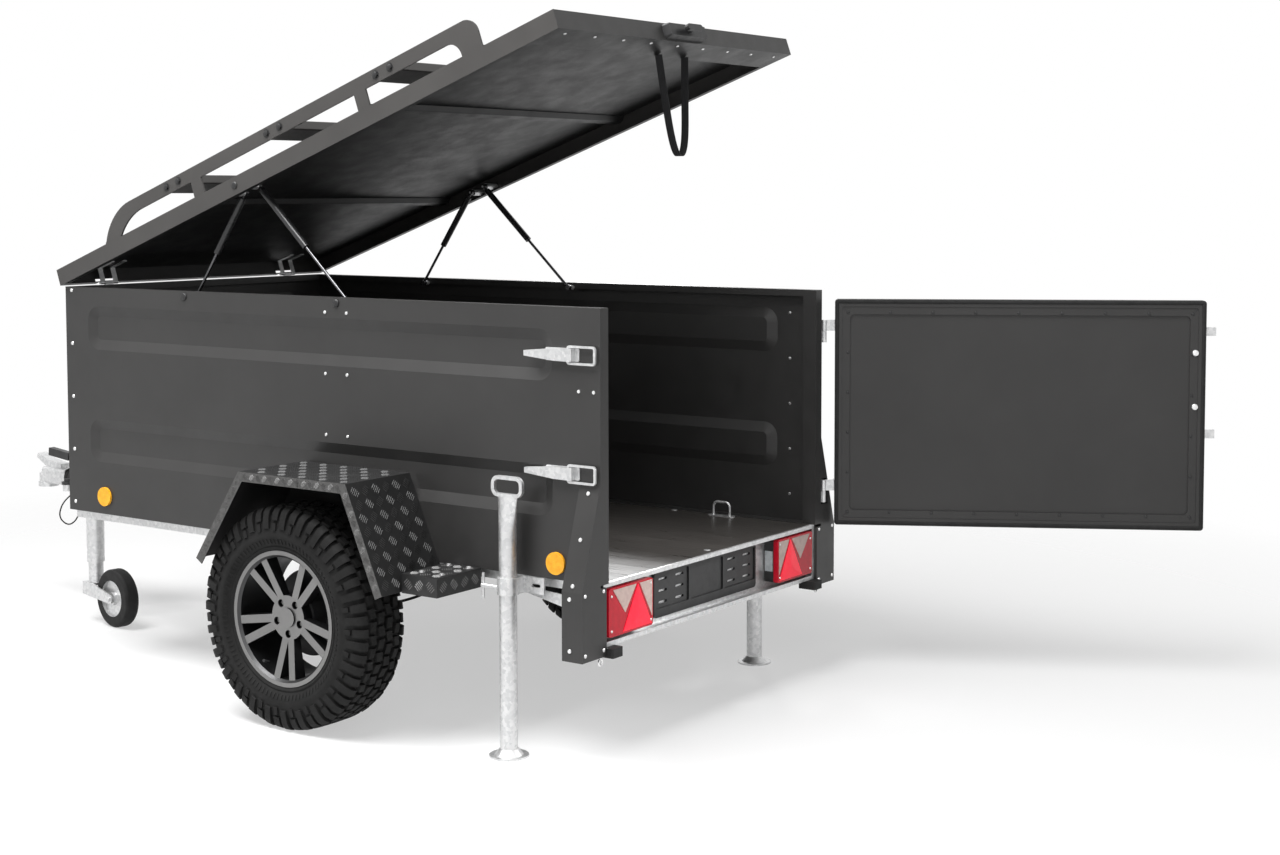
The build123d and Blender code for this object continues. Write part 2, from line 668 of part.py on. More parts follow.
# Rubber bellows round the shaft
with BuildPart() as shaft_bellows:
    with BuildSketch(Plane.XZ):
        with BuildLine():
            Polyline(
                (fwd(OVERRUN_NOSE), up(SHAFT_HEIGHT)),
                (fwd(OVERRUN_NOSE), up(SHAFT_HEIGHT + 38)),
                (fwd(OVERRUN_NOSE + 15), up(SHAFT_HEIGHT + 30)),
                (fwd(OVERRUN_NOSE + 30), up(SHAFT_HEIGHT + 38)),
                (fwd(OVERRUN_NOSE + 45), up(SHAFT_HEIGHT + 30)),
                (fwd(OVERRUN_NOSE + 60), up(SHAFT_HEIGHT + 38)),
                (fwd(OVERRUN_NOSE + 75), up(SHAFT_HEIGHT + 30)),
                (fwd(OVERRUN_NOSE + 90), up(SHAFT_HEIGHT + 34)),
                (fwd(OVERRUN_NOSE + 90), up(SHAFT_HEIGHT)),
                close=True,
            )
        make_face()
    revolve(axis=Axis((0, 0, up(SHAFT_HEIGHT)), (1, 0, 0)))
save(shaft_bellows, "shaft_bellows")

# Coupling head: pressed neck and ball cup, open below
HEAD_TAIL = OVERRUN_NOSE + 90
CUP_RADIUS = BALL_RADIUS + SOCKET_WALL
with BuildPart() as coupling_head:
    with BuildSketch(Plane.XY):
        Circle(CUP_RADIUS + 4)
    extrude(amount=-16)
    with BuildSketch(Plane.XY):
        Circle(CUP_RADIUS)
    extrude(amount=CUP_RADIUS)
    with BuildSketch(Plane(origin=(fwd(HEAD_TAIL), 0, 0), x_dir=(0, 1, 0), z_dir=(1, 0, 0))):
        with Locations((0, up(SHAFT_HEIGHT))):
            RectangleRounded(62, 60, 12)
    extrude(amount=HITCH_REACH - HEAD_TAIL)
    Sphere(BALL_RADIUS + 0.4, mode=Mode.SUBTRACT)
    with BuildSketch(Plane.XY):
        Circle(BALL_RADIUS + 0.4)
    extrude(amount=-60, mode=Mode.SUBTRACT)
save(coupling_head, "coupling_head")

# Coupling's lever, closed
with BuildPart() as coupling_lever:
    with BuildSketch(along(19)):
        with BuildLine():
            Polyline(
                (-95, up(SHAFT_HEIGHT + 30)),
                (-15, up(SHAFT_HEIGHT + 30)),
                (10, up(SHAFT_HEIGHT + 44)),
                (42, up(SHAFT_HEIGHT + 62)),
                (36, up(SHAFT_HEIGHT + 78)),
                (-20, up(SHAFT_HEIGHT + 58)),
                (-95, up(SHAFT_HEIGHT + 46)),
                close=True,
            )
        make_face()
    extrude(amount=38)
save(coupling_lever, "coupling_lever")

# Rubber torsion axle: square tube, with a trailing arm and stub at each end
with BuildPart() as axle_beam:
    with BuildSketch(along(AXLE_OUT)):
        with Locations((fwd(AXLE_PLACE), up(AXLE_HEIGHT))):
            RectangleRounded(AXLE_SIDE, AXLE_SIDE, 8)
    extrude(amount=2 * AXLE_OUT)
save(axle_beam, "axle_beam")

with BuildPart() as swing_arms:
    with BuildSketch(along(AXLE_OUT + 30)):
        with BuildLine():
            Line((fwd(AXLE_PLACE), up(AXLE_HEIGHT)), (fwd(WHEEL_PLACE), up(WHEEL_RADIUS)))
        trace(line_width=56)
        with Locations((fwd(AXLE_PLACE), up(AXLE_HEIGHT)), (fwd(WHEEL_PLACE), up(WHEEL_RADIUS))):
            Circle(31)
    extrude(amount=30)
    with BuildSketch(along(WHEEL_OUT)):
        with Locations((fwd(WHEEL_PLACE), up(WHEEL_RADIUS))):
            Circle(STUB_RADIUS)
    extrude(amount=WHEEL_OUT - AXLE_OUT - 30)
    with BuildSketch(along(AXLE_OUT + 50)):
        with Locations((fwd(WHEEL_PLACE), up(WHEEL_RADIUS))):
            Circle(DRUM_RADIUS - 4)
    extrude(amount=20)
    mirror(about=Plane.XZ)
save(swing_arms, "swing_arms")

# Wheels: tyre, twin-spoke alloy rim and brake drum
WHEEL_X = fwd(WHEEL_PLACE)
WHEEL_Z = up(WHEEL_RADIUS)
HALF_TYRE = TYRE_WIDTH / 2
tyre_height = WHEEL_RADIUS - RIM_RADIUS
for side, sign in SIDES:
    mid = sign * WHEEL_OUT
    hub_axis = Axis((WHEEL_X, 0, WHEEL_Z), (0, 1, 0))
    wheel_plane = Plane(origin=(WHEEL_X, mid, WHEEL_Z), x_dir=(0, sign, 0), z_dir=(-sign, 0, 0))
    with BuildPart() as tyre:
        with BuildSketch(wheel_plane):
            with BuildLine():
                Polyline(
                    (-RIM_WIDTH / 2 + 8, RIM_RADIUS),
                    (-RIM_WIDTH / 2 - 2, RIM_RADIUS + 18),
                    (-HALF_TYRE, RIM_RADIUS + TYRE_BULGE * tyre_height),
                    (-HALF_TYRE + 6, RIM_RADIUS + TYRE_SHOULDER * tyre_height),
                    (-HALF_TYRE + 14, WHEEL_RADIUS - 14),
                    (-HALF_TYRE + 28, WHEEL_RADIUS - 3),
                    (-20, WHEEL_RADIUS),
                    (20, WHEEL_RADIUS),
                    (HALF_TYRE - 28, WHEEL_RADIUS - 3),
                    (HALF_TYRE - 14, WHEEL_RADIUS - 14),
                    (HALF_TYRE - 6, RIM_RADIUS + TYRE_SHOULDER * tyre_height),
                    (HALF_TYRE, RIM_RADIUS + TYRE_BULGE * tyre_height),
                    (RIM_WIDTH / 2 + 2, RIM_RADIUS + 18),
                    (RIM_WIDTH / 2 - 8, RIM_RADIUS),
                    close=True,
                )
            make_face()
        revolve(axis=hub_axis)
    save(tyre, f"tyre_{side}")

    with BuildPart() as rim:
        with BuildSketch(wheel_plane):
            with BuildLine():
                Polyline(
                    (-RIM_WIDTH / 2 - 6, RIM_RADIUS + RIM_FLANGE),
                    (-RIM_WIDTH / 2 - 1, RIM_RADIUS + RIM_FLANGE),
                    (-RIM_WIDTH / 2 + 7, RIM_RADIUS),
                    (RIM_WIDTH / 2 - 7, RIM_RADIUS),
                    (RIM_WIDTH / 2 + 1, RIM_RADIUS + RIM_FLANGE),
                    (RIM_WIDTH / 2 + 6, RIM_RADIUS + RIM_FLANGE),
                    (RIM_WIDTH / 2 + 6, RIM_RADIUS),
                    (RIM_WIDTH / 2 - 2, RIM_RADIUS - RIM_WALL),
                    (-RIM_WIDTH / 2 + 2, RIM_RADIUS - RIM_WALL),
                    (-RIM_WIDTH / 2 - 6, RIM_RADIUS),
                    close=True,
                )
            make_face()
        revolve(axis=hub_axis)
        disc_plane = Plane(
            origin=(WHEEL_X, mid + sign * DISC_BACK, WHEEL_Z), x_dir=(sign, 0, 0), z_dir=(0, -sign, 0)
        )
        with BuildSketch(disc_plane.offset(-SPOKE_DEPTH)):
            Circle(HUB_RADIUS)
            for pair in range(SPOKE_PAIRS):
                for half in (-1, 1):
                    turn = SPOKE_START + pair * 360 / SPOKE_PAIRS + half * SPOKE_SPLIT
                    with PolarLocations((RIM_RADIUS + HUB_RADIUS) / 2 - 10, 1, start_angle=turn):
                        Rectangle(RIM_RADIUS - HUB_RADIUS + 10, SPOKE_WIDTH)
            with PolarLocations(LUG_CIRCLE, SPOKE_PAIRS, start_angle=SPOKE_START):
                Circle(LUG_POCKET, mode=Mode.SUBTRACT)
        extrude(amount=SPOKE_DEPTH)
        with BuildSketch(disc_plane):
            Circle(HUB_RADIUS)
        extrude(amount=8)
        with BuildSketch(wheel_plane):
            face = DISC_BACK + SPOKE_DEPTH
            with BuildLine():
                Polyline(
                    (face - WHEEL_DISH, 0),
                    (face - WHEEL_DISH, HUB_RADIUS),
                    (face, RIM_RADIUS - RIM_WALL),
                    (face + 1, RIM_RADIUS - RIM_WALL),
                    (face + 1, 0),
                    close=True,
                )
            make_face()
        revolve(axis=hub_axis, mode=Mode.SUBTRACT)
        with BuildSketch(disc_plane):
            with PolarLocations(LUG_CIRCLE, SPOKE_PAIRS, start_angle=SPOKE_START):
                RegularPolygon(LUG_BOLT, 6)
        extrude(amount=-16)
        with BuildSketch(disc_plane.offset(WHEEL_DISH - SPOKE_DEPTH)):
            Circle(CAP_RADIUS)
        extrude(amount=-5)
    save(rim, f"rim_{side}")

    with BuildPart() as drum:
        with BuildSketch(
            Plane(origin=(WHEEL_X, mid + sign * 26, WHEEL_Z), x_dir=(sign, 0, 0), z_dir=(0, -sign, 0))
        ):
            Circle(HUB_RADIUS + 8)
        extrude(amount=50)
        with BuildSketch(
            Plane(origin=(WHEEL_X, mid - sign * 24, WHEEL_Z), x_dir=(sign, 0, 0), z_dir=(0, -sign, 0))
        ):
            Circle(DRUM_RADIUS)
        extrude(amount=DRUM_WIDTH)
        with BuildSketch(
            Plane(origin=(WHEEL_X, mid + sign * 0.5, WHEEL_Z), x_dir=(sign, 0, 0), z_dir=(0, -sign, 0))
        ):
            Circle(STUB_RADIUS + RUNNING)
        extrude(amount=120, mode=Mode.SUBTRACT)
    save(drum, f"brake_drum_{side}")

# Mudguards: bent tread plate with a turned-down outer lip
guard_points = [(fwd(x), up(z)) for x, z in GUARD_LINE]
with BuildPart() as mudguards:
    with BuildSketch(along(GUARD_OUT)):
        with BuildLine():
            Polyline(*guard_points)
            offset(amount=SHEET, side=Side.LEFT)
        make_face()
    extrude(amount=GUARD_OUT - HALF)
    with BuildSketch(along(GUARD_OUT)):
        with BuildLine():
            Polyline(*guard_points)
            offset(amount=GUARD_LIP, side=Side.LEFT)
        make_face()
    extrude(amount=SHEET)
    mirror(about=Plane.XZ)
save(mudguards, "mudguards")

# Steps behind the mudguards: folded trays of tread plate
with BuildPart() as steps:
    with BuildSketch(level(STEP_TOP)):
        with Locations((fwd((STEP_REAR + STEP_FRONT) / 2), (HALF + STEP_OUT) / 2)):
            Rectangle(STEP_FRONT - STEP_REAR, STEP_OUT - HALF)
    extrude(amount=-STEP_HEIGHT)
    with BuildSketch(level(STEP_TOP - SHEET)):
        with Locations((fwd((STEP_REAR + STEP_FRONT) / 2), (HALF + STEP_OUT) / 2)):
            Rectangle(STEP_FRONT - STEP_REAR - 2 * SHEET, STEP_OUT - HALF - 2 * SHEET)
    extrude(amount=-STEP_HEIGHT, mode=Mode.SUBTRACT)
    mirror(about=Plane.XZ)
save(steps, "steps")

# Lamps in the rear channel
with BuildPart() as lamp_housings:
    with BuildSketch(across(TAIL_LIP + LENS_DEPTH)):
        with Locations(((LAMP_IN + LAMP_OUT) / 2, up((LAMP_BOTTOM + LAMP_TOP) / 2))):
            RectangleRounded(LAMP_WIDTH, LAMP_TOP - LAMP_BOTTOM, 8)
    extrude(amount=TAIL_WEB - STEEL - TAIL_LIP - LENS_DEPTH)
    mirror(about=Plane.XZ)
save(lamp_housings, "lamp_housings")

with BuildPart() as lamp_lenses:
    with BuildSketch(across(TAIL_LIP - 4)):
        with Locations(((LAMP_IN + LAMP_OUT) / 2, up((LAMP_BOTTOM + LAMP_TOP) / 2))):
            RectangleRounded(LAMP_WIDTH, LAMP_TOP - LAMP_BOTTOM, 8)
    extrude(amount=LENS_DEPTH + 4)
    mirror(about=Plane.XZ)
save(lamp_lenses, "lamp_lenses")

# Number plate holder, blank: rim, two upright ribs, lower strip and slots
plate_low = PLATE_MID - PLATE_HEIGHT / 2
field_high = PLATE_HEIGHT - PLATE_STRIP - PLATE_RIM
field_mid = plate_low + PLATE_STRIP + field_high / 2
field_wide = PLATE_WIDTH / 2 - PLATE_RIB_OUT - PLATE_RIB / 2 - PLATE_RIM
field_out = PLATE_RIB_OUT + PLATE_RIB / 2 + field_wide / 2
with BuildPart() as plate_holder:
    with BuildSketch(across(TAIL_WEB - STEEL)):
        with Locations((0, up(PLATE_MID))):
            RectangleRounded(PLATE_WIDTH, PLATE_HEIGHT, 2 * PLATE_RIM)
    extrude(amount=-PLATE_BACK - PLATE_RISE)
    with BuildSketch(across(TAIL_WEB - STEEL - PLATE_BACK)):
        with Locations((-field_out, up(field_mid)), (field_out, up(field_mid))):
            RectangleRounded(field_wide, field_high, PLATE_RIM)
        with Locations((0, up(field_mid))):
            RectangleRounded(2 * PLATE_RIB_OUT - PLATE_RIB, field_high, PLATE_RIM)
    extrude(amount=-PLATE_RISE, mode=Mode.SUBTRACT)
    with BuildSketch(across(TAIL_WEB - STEEL)):
        with Locations((-field_out, up(field_mid)), (field_out, up(field_mid))):
            with GridLocations(field_wide / 2, field_high / 3, 2, 3):
                SlotOverall(*PLATE_SLOT)
    extrude(amount=-PLATE_BACK, mode=Mode.SUBTRACT)
save(plate_holder, "plate_holder")

# Round side reflectors
with BuildPart() as side_reflectors:
    for place, height in REFLECTORS:
        with BuildSketch(along(HALF + 7)):
            with Locations((fwd(place), up(height))):
                Circle(REFLECTOR_RADIUS)
        extrude(amount=7)
    mirror(about=Plane.XZ)
save(side_reflectors, "side_reflectors")

# Lashing loops on the floor
with BuildPart() as lashing_loops:
    for place in LOOP_PLACES:
        with BuildLine(along(LOOP_OUT)) as loop_path:
            FilletPolyline(
                (fwd(place - LOOP_SPAN / 2), up(FLOOR_TOP + 3)),
                (fwd(place - LOOP_SPAN / 2), up(FLOOR_TOP + LOOP_RISE)),
                (fwd(place + LOOP_SPAN / 2), up(FLOOR_TOP + LOOP_RISE)),
                (fwd(place + LOOP_SPAN / 2), up(FLOOR_TOP + 3)),
                radius=16,
            )
        with BuildSketch(
            Plane(origin=loop_path.line @ 0, x_dir=(1, 0, 0), z_dir=loop_path.line % 0)
        ):
            Circle(LOOP_WIRE)
        sweep(path=loop_path.line)
        with BuildSketch(level(FLOOR_TOP)):
            with Locations((fwd(place), LOOP_OUT)):
                SlotOverall(LOOP_SPAN + 36, 26)
        extrude(amount=3)
    mirror(about=Plane.XZ)
save(lashing_loops, "lashing_loops")

# Over-centre latches on the left wall: base plate, tapered handle and undone wire bail
with BuildPart() as door_latches:
    for height in LATCH_HEIGHTS:
        with BuildSketch(along(HALF + 3)):
            with Locations((fwd(LATCH_PLACE), up(height))):
                RectangleRounded(110, 34, 5)
        extrude(amount=3)
        with BuildSketch(along(HALF + 18)):
            with BuildLine():
                Polyline(
                    (fwd(LATCH_PLACE - 40), up(height - 17)),
                    (fwd(LATCH_PLACE - 40), up(height + 17)),
                    (fwd(LATCH_PLACE + 20), up(height + 16)),
                    (fwd(LATCH_TIP), up(height + 7)),
                    (fwd(LATCH_TIP), up(height - 7)),
                    (fwd(LATCH_PLACE + 20), up(height - 16)),
                    close=True,
                )
            make_face()
        extrude(amount=15)
        with BuildSketch(along(HALF + 12)):
            with Locations((fwd(LATCH_PLACE - 66), up(height))):
                RectangleRounded(*LATCH_BAIL, 9)
                RectangleRounded(
                    LATCH_BAIL[0] - 2 * LATCH_WIRE, LATCH_BAIL[1] - 2 * LATCH_WIRE, 4, mode=Mode.SUBTRACT
                )
        extrude(amount=LATCH_WIRE)
save(door_latches, "door_latches")

# Lid, drawn on planes that lie on it: local x is forward, local z is the lid's own up
LID = Plane(
    origin=(fwd(LID_HINGE_PLACE), 0, up(LID_HINGE_HEIGHT)),
    x_dir=(cos(radians(LID_ANGLE)), 0, -sin(radians(LID_ANGLE))),
    z_dir=(sin(radians(LID_ANGLE)), 0, cos(radians(LID_ANGLE))),
)


def lid_side(out):
    """Upright plane along the lid, facing right; local x is forward on the lid."""
    return Plane(origin=LID.from_local_coords((0, out, 0)), x_dir=LID.x_dir, z_dir=-LID.y_dir)


LID_MID = LID_NOSE - LID_LENGTH / 2
with BuildPart() as lid_pan:
    with BuildSketch(LID):
        with Locations((LID_MID, 0)):
            Rectangle(LID_LENGTH, LID_WIDTH)
    extrude(amount=LID_DEPTH)
    with BuildSketch(LID.offset(SHEET)):
        with Locations((LID_MID, 0)):
            Rectangle(LID_LENGTH - 2 * SHEET, LID_WIDTH - 2 * SHEET)
    extrude(amount=LID_DEPTH - 2 * SHEET, mode=Mode.SUBTRACT)
    with BuildSketch(LID):
        with Locations((LID_MID + (LID_REAR_LIP - LID_LIP) / 2, 0)):
            Rectangle(LID_LENGTH - LID_LIP - LID_REAR_LIP, LID_WIDTH - 2 * LID_LIP)
    extrude(amount=SHEET, mode=Mode.SUBTRACT)
    # room round the hinge pins
    with BuildSketch(LID):
        for sign in (-1, 1):
            with Locations((0, sign * LID_HINGE_OUT)):
                Rectangle(40, LID_HINGE_LENGTH + 14)
    extrude(amount=16, mode=Mode.SUBTRACT)
save(lid_pan, "lid_pan")

# Hat-section stiffeners across the inside of the lid
with BuildPart() as lid_stiffeners:
    for place in LID_RIBS:
        with BuildSketch(lid_side(LID_WIDTH / 2 - SHEET)):
            with BuildLine():
                Polyline(
                    (-place - LID_RIB_WIDTH / 2, LID_DEPTH - SHEET),
                    (-place - LID_RIB_WIDTH / 4, LID_DEPTH - SHEET - LID_RIB_DEPTH),
                    (-place + LID_RIB_WIDTH / 4, LID_DEPTH - SHEET - LID_RIB_DEPTH),
                    (-place + LID_RIB_WIDTH / 2, LID_DEPTH - SHEET),
                )
                offset(amount=SHEET, side=Side.RIGHT)
            make_face()
        extrude(amount=LID_WIDTH - 2 * SHEET)
save(lid_stiffeners, "lid_stiffeners")

# Roof rails: flat plate with an arched nose and three gaps, standing on four feet
gap_top = RAIL_TOP - RAIL_BAR
rail_stops = [RAIL_FRONT + RAIL_END_FOOT]
for start, width in RAIL_POSTS:
    rail_stops += [start, start + width]
rail_stops.append(RAIL_REAR - RAIL_END_FOOT)
with BuildPart() as roof_rails:
    with BuildSketch(lid_side(RAIL_FACE)) as rail_face:
        with BuildLine():
            nose = TangentArc(
                (-RAIL_FRONT - RAIL_NOSE_RUN, RAIL_TOP), (-RAIL_FRONT, LID_DEPTH), tangent=(1, 0)
            )
            Polyline(nose @ 1, (-RAIL_REAR, LID_DEPTH), (-RAIL_REAR, RAIL_TOP), nose @ 0)
        make_face()
        corner = rail_face.vertices().filter_by_position(Axis.Y, RAIL_TOP - 1, RAIL_TOP + 1)
        fillet(corner.sort_by(Axis.X)[0], radius=RAIL_TAIL_ROUND)
        for index in range(0, len(rail_stops), 2):
            front, rear = -rail_stops[index], -rail_stops[index + 1]
            with BuildLine():
                if index == 0:
                    edge = TangentArc((front - RAIL_GAP_RUN, gap_top), (front, LID_DEPTH), tangent=(1, 0))
                else:
                    edge = Line((front, gap_top), (front, LID_DEPTH))
                Polyline(edge @ 1, (rear, LID_DEPTH), (rear, gap_top), edge @ 0)
            make_face(mode=Mode.SUBTRACT)
        inner = rail_face.vertices().filter_by_position(Axis.Y, gap_top - 1, gap_top + 1).sort_by(Axis.X)
        fillet(inner[0], radius=RAIL_TAIL_ROUND)
        fillet(inner[1:-1], radius=RAIL_POST_ROUND)
    extrude(amount=RAIL_PLATE)
    end_feet = ((RAIL_FRONT, RAIL_END_FOOT), (RAIL_REAR - RAIL_END_FOOT, RAIL_END_FOOT))
    for start, width in (*end_feet, *RAIL_POSTS):
        with BuildSketch(LID.offset(LID_DEPTH)):
            with Locations((-start - width / 2, RAIL_FACE - RAIL_FOOT_DEPTH / 2)):
                Rectangle(width, RAIL_FOOT_DEPTH)
        extrude(amount=RAIL_PLATE)
    mirror(about=Plane.XZ)
save(roof_rails, "roof_rails")

# Crossbars between the rails, slotted on top
with BuildPart() as crossbars:
    bar_half = RAIL_FACE - RAIL_PLATE
    for place in BAR_PLACES:
        with BuildSketch(lid_side(bar_half)):
            with Locations((-place, RAIL_TOP - 4 - BAR_HEIGHT / 2)):
                RectangleRounded(BAR_WIDTH, BAR_HEIGHT, 4)
                for slot in (-1, 1):
                    with Locations((slot * BAR_WIDTH / 4, BAR_HEIGHT / 2 - 4)):
                        Rectangle(BAR_SLOT, 8, mode=Mode.SUBTRACT)
        extrude(amount=2 * bar_half)
save(crossbars, "crossbars")

# Lid lock: cover on the lid's rear rim with a T handle
LID_REAR = LID_NOSE - LID_LENGTH
with BuildPart() as lid_lock:
    with BuildSketch(
        Plane(
            origin=LID.from_local_coords((LID_REAR, 0, 0)), x_dir=(0, -1, 0), z_dir=-LID.x_dir
        )
    ):
        with Locations((0, 27)):
            RectangleRounded(190, 44, 8)
    extrude(amount=22, taper=12)
    with BuildSketch(
        Plane(
            origin=LID.from_local_coords((LID_REAR - 22, 0, 0)), x_dir=(0, -1, 0), z_dir=-LID.x_dir
        )
    ):
        with Locations((0, 27)):
            Circle(9)
    extrude(amount=14)
    with BuildSketch(
        Plane(
            origin=LID.from_local_coords((LID_REAR - 36, 0, 0)), x_dir=(0, -1, 0), z_dir=-LID.x_dir
        )
    ):
        with Locations((0, 27)):
            SlotOverall(74, 18)
    extrude(amount=12)
save(lid_lock, "lid_lock")

# Lid hinges: fixed knuckle with pin on the front wall, leaf on the lid
with BuildPart() as hinge_posts:
    for sign in (-1, 1):
        with BuildSketch(along(sign * LID_HINGE_OUT + LID_FIXED_KNUCKLE / 2)):
            with Locations((fwd(LID_HINGE_PLACE), up(LID_HINGE_HEIGHT))):
                Circle(LID_KNUCKLE)
            with Locations((fwd(LID_HINGE_PLACE), up((WALL_TOP + LID_HINGE_HEIGHT) / 2))):
                Rectangle(10, LID_HINGE_HEIGHT - WALL_TOP)
        extrude(amount=LID_FIXED_KNUCKLE)
        with BuildSketch(along(sign * LID_HINGE_OUT + LID_HINGE_LENGTH / 2)):
            with Locations((fwd(LID_HINGE_PLACE), up(LID_HINGE_HEIGHT))):
                Circle(LID_PIN_RADIUS)
        extrude(amount=LID_HINGE_LENGTH)
    # the door's hinges have their pins and leaves on the right wall
    for height in DOOR_HINGES:
        with BuildSketch(level(height - DOOR_HINGE_LENGTH / 2)):
            with Locations((fwd(DOOR_PIN_PLACE), -DOOR_PIN_OUT)):
                Circle(DOOR_PIN_RADIUS)
        extrude(amount=DOOR_HINGE_LENGTH)
        with BuildSketch(level(height - DOOR_HINGE_LENGTH / 2)):
            with Locations((fwd(DOOR_PIN_PLACE), -DOOR_PIN_OUT)):
                Circle(HINGE_KNUCKLE)
            with BuildLine():
                Polyline(
                    (fwd(DOOR_PIN_PLACE), -DOOR_PIN_OUT - HINGE_KNUCKLE),
                    (fwd(DOOR_PIN_PLACE) + 20, -HALF - 4),
                    (fwd(DOOR_PIN_PLACE) + 66, -HALF - 4),
                    (fwd(DOOR_PIN_PLACE) + 66, -HALF),
                    (fwd(DOOR_PIN_PLACE) + 4, -HALF),
                    (fwd(DOOR_PIN_PLACE), -DOOR_PIN_OUT),
                    close=True,
                )
            make_face()
        extrude(amount=DOOR_HINGE_LENGTH / 2 - 0.5)
save(hinge_posts, "hinge_posts")

with BuildPart() as lid_hinge_leaves:
    for sign in (-1, 1):
        for piece in (-1, 1):
            with BuildSketch(lid_side(sign * LID_HINGE_OUT + piece * LID_LEAF_PLACE + LID_LEAF_WIDTH / 2)):
                Circle(LID_KNUCKLE)
                with BuildLine():
                    Polyline(
                        (-LID_LEAF_BACK, LID_LEAF_BACK),
                        (-LID_LEAF_BACK, LID_DEPTH - SHEET),
                        (-LID_LEAF_REACH, LID_DEPTH - SHEET),
                        (-LID_LEAF_REACH, LID_DEPTH - 2 * SHEET),
                        (-LID_LEAF_BACK - SHEET, LID_DEPTH - 2 * SHEET),
                        (-LID_LEAF_BACK - SHEET, 0),
                        close=True,
                    )
                make_face()
                Circle(LID_PIN_RADIUS + RUNNING, mode=Mode.SUBTRACT)
            extrude(amount=LID_LEAF_WIDTH)
save(lid_hinge_leaves, "lid_hinge_leaves")

# Pull strap: a hanging webbing loop, sewn to the lid's rear lip
strap_top = LID.from_local_coords((-STRAP_PLACE, 0, 0))
with BuildPart() as pull_strap:
    with BuildSketch(
        Plane(
            origin=(strap_top.X - STRAP_WIDTH / 2, 0, strap_top.Z), x_dir=(0, 1, 0), z_dir=(1, 0, 0)
        )
    ):
        with BuildLine():
            FilletPolyline(
                (STRAP_LEFT, 20),
                (STRAP_LOW_LEFT, 40 - STRAP_DROP),
                (STRAP_LOW_LEFT - 20, -STRAP_DROP),
                (STRAP_LOW_RIGHT + 16, -STRAP_DROP),
                (STRAP_LOW_RIGHT, 40 - STRAP_DROP),
                (STRAP_RIGHT, 20),
                radius=12,
            )
        trace(line_width=STRAP_THICK)
    extrude(amount=STRAP_WIDTH)
    split(bisect_by=LID, keep=Keep.BOTTOM)
save(pull_strap, "pull_strap")

# Gas struts: barrel on the lid, rod towards the wall
for side, sign in SIDES:
    for place, lid_pin, wall_pin, barrel_length in STRUT_TABLE:
        top = LID.from_local_coords((-lid_pin, sign * STRUT_OUT, STRUT_LID_HEIGHT))
        foot = Vector(fwd(wall_pin), sign * STRUT_OUT, up(STRUT_WALL_HEIGHT))
        reach = foot - top
        aim = reach.normalized()
        strut_plane = Plane(origin=top, x_dir=(0, 1, 0), z_dir=aim)
        flat = Plane(origin=top - Vector(0, sign * STRUT_EYE_THICK / 2, 0), x_dir=(1, 0, 0), z_dir=(0, sign, 0))
        with BuildPart() as barrel:
            with BuildSketch(flat):
                Circle(STRUT_EYE)
            extrude(amount=STRUT_EYE_THICK)
            with BuildSketch(strut_plane):
                Circle(STRUT_ROD)
            extrude(amount=24)
            with BuildSketch(strut_plane.offset(20)):
                Circle(STRUT_BARREL)
            extrude(amount=barrel_length - 20)
            with BuildSketch(flat):
                Circle(STRUT_PIN + RUNNING)
            extrude(amount=STRUT_EYE_THICK, mode=Mode.SUBTRACT)
            with BuildSketch(strut_plane.offset(24)):
                Circle(STRUT_ROD + RUNNING)
            extrude(amount=barrel_length, mode=Mode.SUBTRACT)
        save(barrel, f"strut_barrel_{place}_{side}")
        foot_flat = Plane(
            origin=foot - Vector(0, sign * STRUT_EYE_THICK / 2, 0), x_dir=(1, 0, 0), z_dir=(0, sign, 0)
        )
        rod_inner = barrel_length - 12
        with BuildPart() as rod:
            with BuildSketch(strut_plane.offset(rod_inner)):
                Circle(STRUT_ROD)
            extrude(amount=reach.length - rod_inner)
            with BuildSketch(foot_flat):
                Circle(STRUT_EYE)
            extrude(amount=STRUT_EYE_THICK)
        save(rod, f"strut_rod_{place}_{side}")

# Pins of the struts: on the lid's rim and on the walls' flanges
with BuildPart() as strut_lid_pins:
    for place, lid_pin, wall_pin, barrel_length in STRUT_TABLE:
        with BuildSketch(lid_side(LID_WIDTH / 2 - SHEET)):
            with Locations((-lid_pin, STRUT_LID_HEIGHT)):
                Circle(STRUT_PIN)
        extrude(amount=LID_WIDTH / 2 - SHEET - STRUT_OUT + STRUT_EYE_THICK / 2 + 1)
        with BuildSketch(lid_side(LID_WIDTH / 2 - SHEET)):
            with Locations((-lid_pin, STRUT_LID_HEIGHT)):
                Circle(STRUT_PIN + 7)
        extrude(amount=LID_WIDTH / 2 - SHEET - STRUT_OUT - STRUT_EYE_THICK / 2 - 3)
    mirror(about=Plane.XZ)
save(strut_lid_pins, "strut_lid_pins")

with BuildPart() as strut_wall_pins:
    for place, lid_pin, wall_pin, barrel_length in STRUT_TABLE:
        with BuildSketch(along(HALF - TOP_FLANGE)):
            with Locations((fwd(wall_pin), up(STRUT_WALL_HEIGHT))):
                Circle(STRUT_PIN + 4)
        extrude(amount=HALF - TOP_FLANGE - STRUT_OUT - STRUT_EYE_THICK / 2 - 1)
    mirror(about=Plane.XZ)
save(strut_wall_pins, "strut_wall_pins")

# Rear door, drawn on planes that turn with it: local x runs from hinge to free edge
DOOR = Plane(
    origin=(fwd(DOOR_PIN_PLACE), -DOOR_PIN_OUT, 0),
    x_dir=(-sin(radians(DOOR_ANGLE)), cos(radians(DOOR_ANGLE)), 0),
    z_dir=(cos(radians(DOOR_ANGLE)), sin(radians(DOOR_ANGLE)), 0),
)
